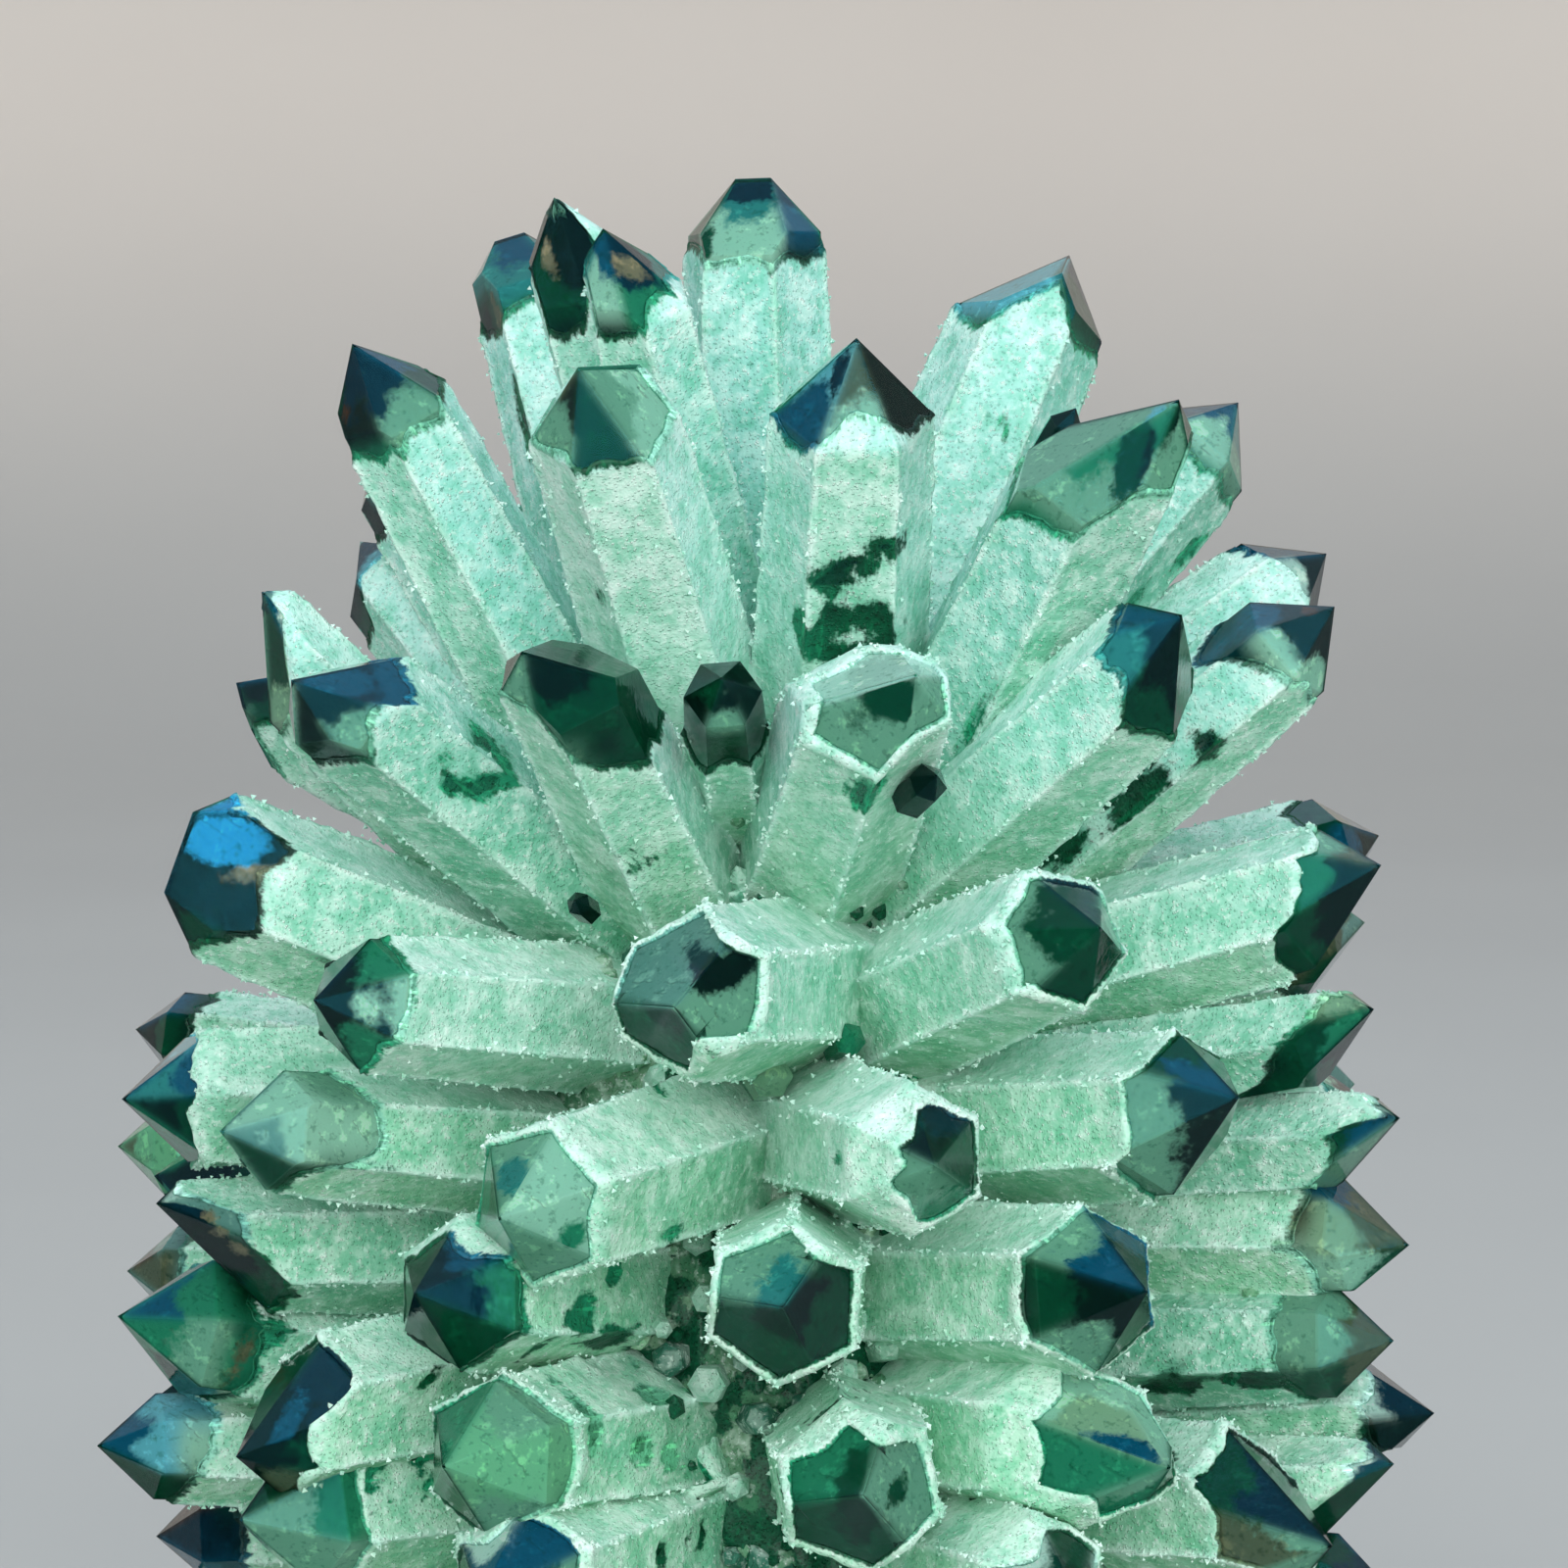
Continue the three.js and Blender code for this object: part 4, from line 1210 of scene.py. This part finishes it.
def clear_material():
    """Clear quartz with a green cast: plain transmission, with absorption in its depth."""
    material = bpy.data.materials.new("clear_quartz")
    g = Graph(material)
    smear = g.noise(g.place(), 0.0030, 4.0, 0.65)
    shape, colours = bpy.context.scene.quartz_shape, bpy.context.scene.quartz_colours
    absorption = g.node("ShaderNodeVolumeAbsorption", {}, {
        "Color": (*colours.clear_cast, 1.0), "Density": shape.cast_density,
    })
    g.surface({
        "Base Color": (0.95, 1.0, 0.98, 1.0),
        "Roughness": 0.02 + 0.08 * g.rise(smear, 0.52, 0.72),
        "Normal": g.bump(smear, 0.0005, 0.15),
        "IOR": 1.544,
        "Specular Tint": (0.05, 0.26, 0.38, 1.0),
        "Transmission Weight": 1.0,
    }, absorption)
    return material


def stage_material():
    """The floor and the backdrop: plain pale stone grey, warmer up high and darker behind the viewer."""
    material = bpy.data.materials.new("pale_stage")
    g = Graph(material)
    place = g.place()
    cloud = g.noise(place, 0.30, 3.0)
    floor = g.blend((0.50, 0.48, 0.455), (0.56, 0.54, 0.51), cloud)
    wall = g.blend((0.88, 0.77, 0.68), (0.94, 0.84, 0.75), cloud)
    pale = g.blend(floor, wall, g.rise(g.part(place, 2), 0.0, 0.35))
    colour = g.blend((0.24, 0.23, 0.21), pale, g.rise(g.part(place, 1), -1.3, -0.5))
    g.surface({"Base Color": colour, "Roughness": 0.8 + 0.1 * cloud})
    return material


def metres(name, description, default):
    """A length property."""
    return bpy.props.FloatProperty(
        name=name, description=description, default=default, subtype="DISTANCE", unit="LENGTH",
    )


def tone(name, description, default):
    """A colour property, in linear light."""
    return bpy.props.FloatVectorProperty(
        name=name, description=description, default=default, subtype="COLOR", size=3, min=0, max=1,
    )


class QuartzShape(bpy.types.PropertyGroup):
    """Sizes of the frost and the clear ends."""

    lip_height: metres("Lip height", "How far a raised rim of frost stands out", 0.00042)
    ridge_height: metres("Ridge height", "How far the frost stands up along a crystal's edges", 0.00024)
    grain: metres("Grain", "How rough the frost is from point to point", 0.000035)
    clear_inset: metres("Clear inset", "How far the clear prism lies inside the solid's sides", 0.0003)
    grain_size: metres("Grain size", "Radius of a loose grain of frost", 0.00021)
    phantom_depth: metres("Phantom depth", "Depth of the phantom under an end face", 0.0004)
    phantom_inset: metres("Phantom inset", "Depth of the phantom under a side", 0.0005)
    dive: bpy.props.FloatProperty(
        name="Dive", description="How deep the frost goes inside its lip, in half widths", default=0.4)
    cast_density: bpy.props.FloatProperty(
        name="Cast density", description="How strongly clear quartz absorbs light", default=380.0)


class QuartzColours(bpy.types.PropertyGroup):
    """Colours of the frost, of clear quartz and of the phantoms."""

    # frost_leaf and frost_moss also carry painted shade (faces that look down, low down and near the
    # roots); frost_pale also carries painted light on faces that look up
    frost_mint: tone("Frost", "Frost out at the ends", (0.39, 0.77, 0.70))
    frost_leaf: tone("Low frost", "Frost out at the ends, low down", (0.32, 0.66, 0.46))
    frost_moss: tone("Frost at the root", "Frost near the heart and the foot", (0.17, 0.44, 0.29))
    frost_pale: tone("Frost on ridges", "Frost on ridges and rims", (0.72, 0.93, 0.86))
    crust_cream: tone("Crust", "Crust between the crystals", (0.42, 0.72, 0.47))
    frost_deep: tone("Frost in hollows", "Frost in hollows and streaks", (0.13, 0.50, 0.36))
    clear_cast: tone("Clear cast", "What clear quartz lets through", (0.10, 0.74, 0.62))
    near_black: tone("Near black", "Darkest ends", (0.001, 0.016, 0.011))
    deep_green: tone("Deep green", "Dark green ends", (0.002, 0.085, 0.038))
    leaf_green: tone("Leaf green", "Green ends", (0.03, 0.32, 0.18))
    grey_green: tone("Grey green", "Cloudy green faces", (0.28, 0.56, 0.42))
    mint: tone("Mint", "Pale cloudy faces", (0.52, 0.82, 0.68))
    teal: tone("Teal", "Teal faces", (0.04, 0.32, 0.32))
    # the four blue tones below are painted reflections of the sky on the ends' faces
    blue: tone("Blue", "Blue faces", (0.004, 0.12, 0.23))
    sky: tone("Sky", "Pale blue faces", (0.20, 0.60, 0.74))
    azure: tone("Azure", "Bright blue faces", (0.04, 0.50, 1.0))
    navy: tone("Navy", "Dark blue faces", (0.002, 0.035, 0.065))
    slate: tone("Slate", "Slate blue faces", (0.23, 0.45, 0.42))
    olive: tone("Olive", "Smoky brown faces", (0.15, 0.17, 0.10))
    pale_olive: tone("Pale olive", "Pale yellow-green faces", (0.40, 0.60, 0.42))
    spring: tone("Spring", "Light green faces", (0.28, 0.68, 0.42))
    rust: tone("Rust", "Cream and rusty flakes", (0.36, 0.28, 0.18))
    red_brown: tone("Red brown", "Red-brown flakes", (0.10, 0.035, 0.015))
    frost: tone("White", "White cloudy faces", (0.86, 0.98, 0.93))


def numbered_crystals():
    """Every long crystal with its look, the front ones first."""
    crystals = front_crystals() + ring_crystals()
    return [(crystal, look_of(crystal, n)) for n, crystal in enumerate(crystals)]


# pieces of frost, each with its rows of the table of crystals
FRONT_GROUPS = {
    "frost_crown": range(0, 12),
    "frost_shoulder": range(12, 26),
    "frost_middle": range(26, 41),
    "frost_foot": range(41, len(CRYSTALS)),
}


class QUARTZ_OT_frost(bpy.types.Operator):
    """Builds the frost sheaths of the long crystals and the loose grains on them"""

    bl_idname = "quartz.frost"
    bl_label = "Frost"

    def execute(self, context):
        shape = context.scene.quartz_shape
        material = frost_material()
        crystals = numbered_crystals()
        rng = np.random.default_rng(FROST_SEED)
        places, tints = [], []
        groups = dict(FRONT_GROUPS)
        half = (len(CRYSTALS) + len(crystals)) // 2
        groups["frost_back_upper"] = range(len(CRYSTALS), half)
        groups["frost_back_lower"] = range(half, len(crystals))
        for name, members in groups.items():
            mesh = Mesh()
            fineness = (FINE, FROST_STEP) if name in FRONT_GROUPS else (COARSE, BACK_FROST_STEP)
            wanted = FRONT_GRAINS if name in FRONT_GROUPS else BACK_GRAINS
            for n in members:
                points, faces, layers, grains = frost_sheath(*crystals[n], *fineness, shape, rng)
                mesh.add(points, faces, **layers)
                weight = grains["weight"].ravel()
                chosen = rng.choice(len(weight), wanted, replace=False, p=weight / weight.sum())
                spread = rng.uniform(-0.45, 0.45, (wanted, 3))
                places.append(grains["points"].reshape(-1, 3)[chosen] + spread)
                tints.append(grains["tint"].reshape(-1, 3)[chosen])
            mesh.make(name, material)
        mesh = Mesh()
        tints = mix(np.concatenate(tints), paint("frost_pale"), 0.30)
        points, faces, tint = grain_lumps(np.concatenate(places), tints, mm(shape.grain_size), rng)
        mesh.add_lumps(points, faces, tint, under=tint, bare=0.0)
        mesh.make("frost_grains", material, smooth=False)
        return {"FINISHED"}


class QUARTZ_OT_clear(bpy.types.Operator):
    """Builds the clear ends of the crystals and the phantoms inside them"""

    bl_idname = "quartz.clear"
    bl_label = "Clear ends and phantoms"

    def execute(self, context):
        shape = context.scene.quartz_shape
        crystals = numbered_crystals()
        for n, (root, tip, width, roll, letter) in enumerate(EXTRAS):
            look = (letter * 6, letter * 6, letter * 6, (1,) * 6, 0.5)
            crystals.append((Crystal(f"E{n}", root, tip, width, roll), look))
        clear, front, back = Mesh(), Mesh(), Mesh()
        for crystal, look in crystals:
            place, _, turn = around(crystal, COARSE)
            depth = crystal.face_length + lip_line(crystal, look, place, turn).max()
            depth += 0 if crystal.name[0] == "E" else CLEAR_OVERLAP
            points, faces = convex_body(*crystal_planes(crystal, mm(shape.clear_inset), depth))
            clear.add(crystal.outside(points), faces)
            shown = crystal.name[0] in "TS"
            mesh = front if shown else back
            fineness = (FINE, PHANTOM_STEP) if shown else (COARSE, BACK_PHANTOM_STEP)
            points, faces, layers = phantom_skin(crystal, look, *fineness, shape)
            mesh.add(points, faces, **layers)
        clear.make("clear_tips", clear_material(), smooth=False)
        material = phantom_material()
        front.make("phantoms_front", material, smooth=False)
        back.make("phantoms_back", material, smooth=False)
        return {"FINISHED"}


def heart_skin(columns, rows):
    """The heart's crust as a closed skin: the solid's profile and swellings, pushed in and out by lumps.
    Its parameters are the angle round the axis and the distance along the profile from the top to the
    foot."""
    profile = np.array(list(zip(HEART_RADII, HEART_HEIGHTS)), float)[::-1]
    profile = np.concatenate([profile, [[0.0, 0.0]]])
    step = np.concatenate([[0], np.cumsum(np.linalg.norm(np.diff(profile, axis=0), axis=1))])
    at = np.linspace(0, step[-1], rows + 2)[1:-1]
    radius = np.interp(at, step, profile[:, 0])[:, None]
    height = np.interp(at, step, profile[:, 1])[:, None]
    angle = np.linspace(0, 2 * math.pi, columns, endpoint=False)[None, :]
    radius = radius * heart_swell(angle, height)
    points = round_axis(radius, angle, height)
    lumps = 3.0 * clouds(points, 8.0, 41, 2) + 2.6 * np.abs(clouds(points, 3.2, 43))
    push = ease(height / 4) * (1.2 + lumps)
    outward = round_axis(1.0, angle, 0.25 * ease((height - 110) / 40))
    points = points + unit(outward) * push[..., None]
    points = np.concatenate([points.reshape(-1, 3), [[0, 0, HEART_HEIGHTS[-1] + 1.0], [0, 0, 0]]])
    return points, wrapped_faces(rows, columns)


class QUARTZ_OT_heart(bpy.types.Operator):
    """Builds the knobbly heart between the crystals with the small crystals and lumps that crust it"""

    bl_idname = "quartz.heart"
    bl_label = "Heart and crust"

    def execute(self, context):
        shape = context.scene.quartz_shape
        rng = np.random.default_rng(HEART_SEED)
        frost = frost_material()
        # the crust's dark greens: partly its own deep green, partly painted shade among the crystals,
        # deepest on the heart's skin where the cream is halved
        leaf = paint("frost_leaf") * (0.18, 0.30, 0.24)
        cream = paint("crust_cream")
        dark = paint("deep_green") * 0.7
        points, faces = heart_skin(HEART_COLUMNS, HEART_ROWS)
        shade = np.clip(0.5 + 0.6 * clouds(points, 6.0, 47), 0, 1)[:, None]
        holes = np.clip((clouds(points, 4.0, 48, 2) + 0.20) / 0.3, 0, 1)
        mesh = Mesh()
        mesh.add_lumps(points, faces, mix(leaf, cream * 0.50, shade), dark, holes)
        mesh.make("heart_crust", frost)

        mesh = Mesh()
        for n, crystal in enumerate(crust_crystals()):
            look = COMMON_LOOKS[n % len(COMMON_LOOKS)]
            look = (*look[:3], (-3,) * 6, 0.8)
            points, faces, layers, _ = frost_sheath(crystal, look, COARSE, FROST_STEP, shape, rng)
            mesh.add(points, faces, **layers)
        self.add_druse(mesh, rng)
        centres = self.knob_centres(rng)
        tints = mix(leaf, cream * 0.80, rng.uniform(0, 1, (len(centres), 1)) ** 1.5)
        bare = (rng.uniform(0, 1, len(centres)) < 0.24) * 1.0
        size = rng.uniform(0.7, 2.1, len(centres))
        points, faces, tints, bare = druse_lumps(centres, size, tints, bare, rng)
        mesh.add_lumps(points, faces, tints, dark, bare)
        mesh.make("crust_crystals", frost, smooth=False)
        return {"FINISHED"}

    def knob_centres(self, rng):
        """Where knobs of druse sit: on the heart, and along the roots of the crystals on it."""
        height = rng.uniform(15, 148, KNOB_COUNT)
        angle = rng.uniform(0, 2 * math.pi, KNOB_COUNT)
        radius = heart_radius(height) * heart_swell(angle, height) + rng.uniform(0, 3.5, KNOB_COUNT)
        centres = [round_axis(radius, angle, height)]
        for crystal in front_crystals():
            length = crystal.bare_length()
            wanted = KNOBS_AT_CRUSTY_ROOT if crystal.name in CRUSTY else KNOBS_AT_ROOT
            down = length - rng.exponential(5.0, wanted) - 1
            turn = rng.uniform(0, 2 * math.pi, wanted)
            points, _ = crystal.skin(turn, np.maximum(down, 3))
            centres.append(crystal.outside(points))
        return np.concatenate(centres)

    def add_druse(self, mesh, rng):
        """Adds many small pointed crystals, square to the heart and turned at random: two rings of six
        points, a tip and a foot each."""
        count = DRUSE_COUNT
        height = rng.uniform(20, 148, count)
        angle = rng.uniform(0, 2 * math.pi, count)
        foot = round_axis(heart_radius(height) * heart_swell(angle, height), angle, height)
        slope = (heart_radius(height - 2) - heart_radius(height + 2)) / 4
        axis = unit(round_axis(1.0, angle, slope) + 0.35 * rng.normal(0, 1, (count, 3)))
        first = unit(np.cross(axis, rng.normal(0, 1, (count, 3))))
        second = np.cross(axis, first)
        wide = rng.uniform(1.2, 3.0, count)
        tall = rng.uniform(3.0, 8.5, count)
        turn = (np.arange(SIDES) * math.pi / 3)[:, None]
        ring = np.cos(turn) * first[:, None] + np.sin(turn) * second[:, None]
        ring = ring * wide[:, None, None]
        foot, axis, wide, tall = foot[:, None], axis[:, None], wide[:, None, None], tall[:, None, None]
        back = foot - 3.0 * axis
        high = foot + (tall - wide) * axis + ring * 0.92
        tip = foot + (tall + 0.2 * wide) * axis
        points = np.concatenate([back + ring, high, tip, back], axis=1).reshape(-1, 3)
        side = [[n, (n + 1) % 6, 6 + (n + 1) % 6, 6 + n] for n in range(6)]
        caps = [[6 + n, 6 + (n + 1) % 6, 12] for n in range(6)] + [[(n + 1) % 6, n, 13] for n in range(6)]
        faces = [[14 * n + corner for corner in face] for n in range(count) for face in side + caps]
        pick = rng.uniform(0, 1, (count, 1))
        tint = mix(paint("frost_moss"), paint("frost_pale"), pick * 0.7)
        tint = np.where(pick < 0.25, paint("frost_deep") * 0.35, tint)
        # painted shade: each small crystal darker towards its foot, where it meets the heart
        shade_at_feet = np.r_[np.full(6, 0.6), np.full(8, 1.0)]
        tint = (tint[:, None] * shade_at_feet[:, None]).reshape(-1, 3)
        mesh.add_lumps(points, faces, tint, under=tint, bare=0.0)


class QUARTZ_OT_stage(bpy.types.Operator):
    """Builds the floor that curves up into a backdrop, the lights and the camera"""

    bl_idname = "quartz.stage"
    bl_label = "Stage, lights and camera"

    def execute(self, context):
        self.backdrop()
        self.lights(context)
        self.camera(context)
        return {"FINISHED"}

    def backdrop(self):
        """A round floor whose edge curves up: radius and height along the profile, turned round z."""
        bend = np.linspace(0, math.pi / 2, 12)
        radius = np.concatenate([[0.02, 0.5, 1.2], 1.7 + 0.9 * np.sin(bend), [2.6]])
        height = np.concatenate([[0, 0, 0], 0.9 * (1 - np.cos(bend)), [1.5]])
        angle = np.linspace(0, 2 * math.pi, FLOOR_COLUMNS, endpoint=False)
        points = round_axis(radius[:, None], angle, height[:, None] - FLOOR_GAP).reshape(-1, 3)
        middle = list(range(FLOOR_COLUMNS))
        mesh = bpy.data.meshes.new("pale_floor")
        mesh.from_pydata(points, [], grid_faces(len(height), FLOOR_COLUMNS) + [middle])
        mesh.polygons.foreach_set("use_smooth", np.full(len(mesh.polygons), True))
        mesh.materials.append(stage_material())
        linked("pale_floor", mesh)

    def lights(self, context):
        """A soft sky that is cooler overhead, a key light from the upper left, a broad light from the front
        and a cool one from above and behind."""
        world = bpy.data.worlds.new("studio_sky")
        context.scene.world = world
        g = Graph(world)
        up = g.part(g.node("ShaderNodeTexCoord"), 2)
        colour = g.blend((0.22, 0.25, 0.24), (0.56, 0.65, 0.74), g.rise(up, 0.0, 0.60))
        background = g.node("ShaderNodeBackground", {}, {"Color": colour, "Strength": 1.0})
        g.node("ShaderNodeOutputWorld", {}, {"Surface": background})
        for name, place, size, energy, tint in (
            ("key_light", (-0.60, -0.90, 1.10), 1.2, 5.0, (1.0, 1.0, 0.97)),
            ("front_light", (0.20, -1.55, 0.36), 2.0, 40.0, (1.0, 1.0, 0.97)),
            ("sky_light", (0.25, 0.35, 1.25), 1.0, 2.5, (0.60, 0.82, 1.0)),
        ):
            light = bpy.data.lights.new(name, "AREA")
            light.size = size
            light.energy = energy
            light.color = tint
            lamp = linked(name, light)
            lamp.visible_camera = False
            lamp.location = place
            aim = np.array([0.0, 0.0, 0.13]) - np.array(place)
            flat = math.hypot(aim[0], aim[1])
            lamp.rotation_euler = (math.atan2(flat, -aim[2]), 0, math.atan2(aim[1], aim[0]) - math.pi / 2)

    def camera(self, context):
        """The photograph's view: from 5 degrees above level, 0.76 m in front of the point it looks at."""
        settings = context.scene.quartz_stage
        look_at = np.array(settings.look_at)
        rise = settings.elevation
        lens = bpy.data.cameras.new("photo_view")
        lens.sensor_width = 36.0
        lens.lens = settings.lens
        camera = linked("photo_view", lens)
        camera.location = look_at + settings.distance * np.array([0.0, -math.cos(rise), math.sin(rise)])
        camera.rotation_euler = (math.pi / 2 - rise, 0, 0)
        context.scene.camera = camera
        context.scene.view_settings.view_transform = "Standard"


class QuartzStage(bpy.types.PropertyGroup):
    """Where the camera stands."""

    distance: metres("Distance", "From the camera to the point that it looks at", 0.76)
    elevation: bpy.props.FloatProperty(
        name="Elevation", description="How far the camera looks down", default=math.radians(5.0),
        subtype="ANGLE", unit="ROTATION")
    lens: bpy.props.FloatProperty(
        name="Lens", description="Focal length in millimetres", default=131.54, unit="CAMERA")
    look_at: bpy.props.FloatVectorProperty(
        name="Look at", description="The point in the middle of the view", default=(0.0026, 0.0, 0.151),
        size=3, subtype="TRANSLATION", unit="LENGTH")


OPERATORS = (QUARTZ_OT_stage, QUARTZ_OT_frost, QUARTZ_OT_clear, QUARTZ_OT_heart)


class QUARTZ_PT_cluster(bpy.types.Panel):
    """Lists the steps that build the cluster and the values that they use"""

    bl_idname = "QUARTZ_PT_cluster"
    bl_label = "Phantom quartz cluster"
    bl_space_type = "VIEW_3D"
    bl_region_type = "UI"
    bl_category = "Quartz"

    def draw(self, context):
        layout = self.layout
        for operator in OPERATORS:
            layout.operator(operator.bl_idname)
        for name in SETTINGS:
            group = getattr(context.scene, name)
            box = layout.box()
            for key in group.__annotations__:
                box.prop(group, key)


SETTINGS = {"quartz_shape": QuartzShape, "quartz_colours": QuartzColours, "quartz_stage": QuartzStage}
CLASSES = (*SETTINGS.values(), *OPERATORS, QUARTZ_PT_cluster)


def register():
    """Registers the classes and hangs their values on the scene."""
    for cls in CLASSES:
        bpy.utils.register_class(cls)
    for name, group in SETTINGS.items():
        setattr(bpy.types.Scene, name, bpy.props.PointerProperty(type=group))


def unregister():
    """Takes back what register did."""
    for name in SETTINGS:
        delattr(bpy.types.Scene, name)
    for cls in reversed(CLASSES):
        bpy.utils.unregister_class(cls)


def main():
    """Builds the stage and the cluster."""
    register()
    bpy.ops.quartz.stage()
    bpy.ops.quartz.frost()
    bpy.ops.quartz.clear()
    bpy.ops.quartz.heart()


if __name__ == "__main__":
    main()
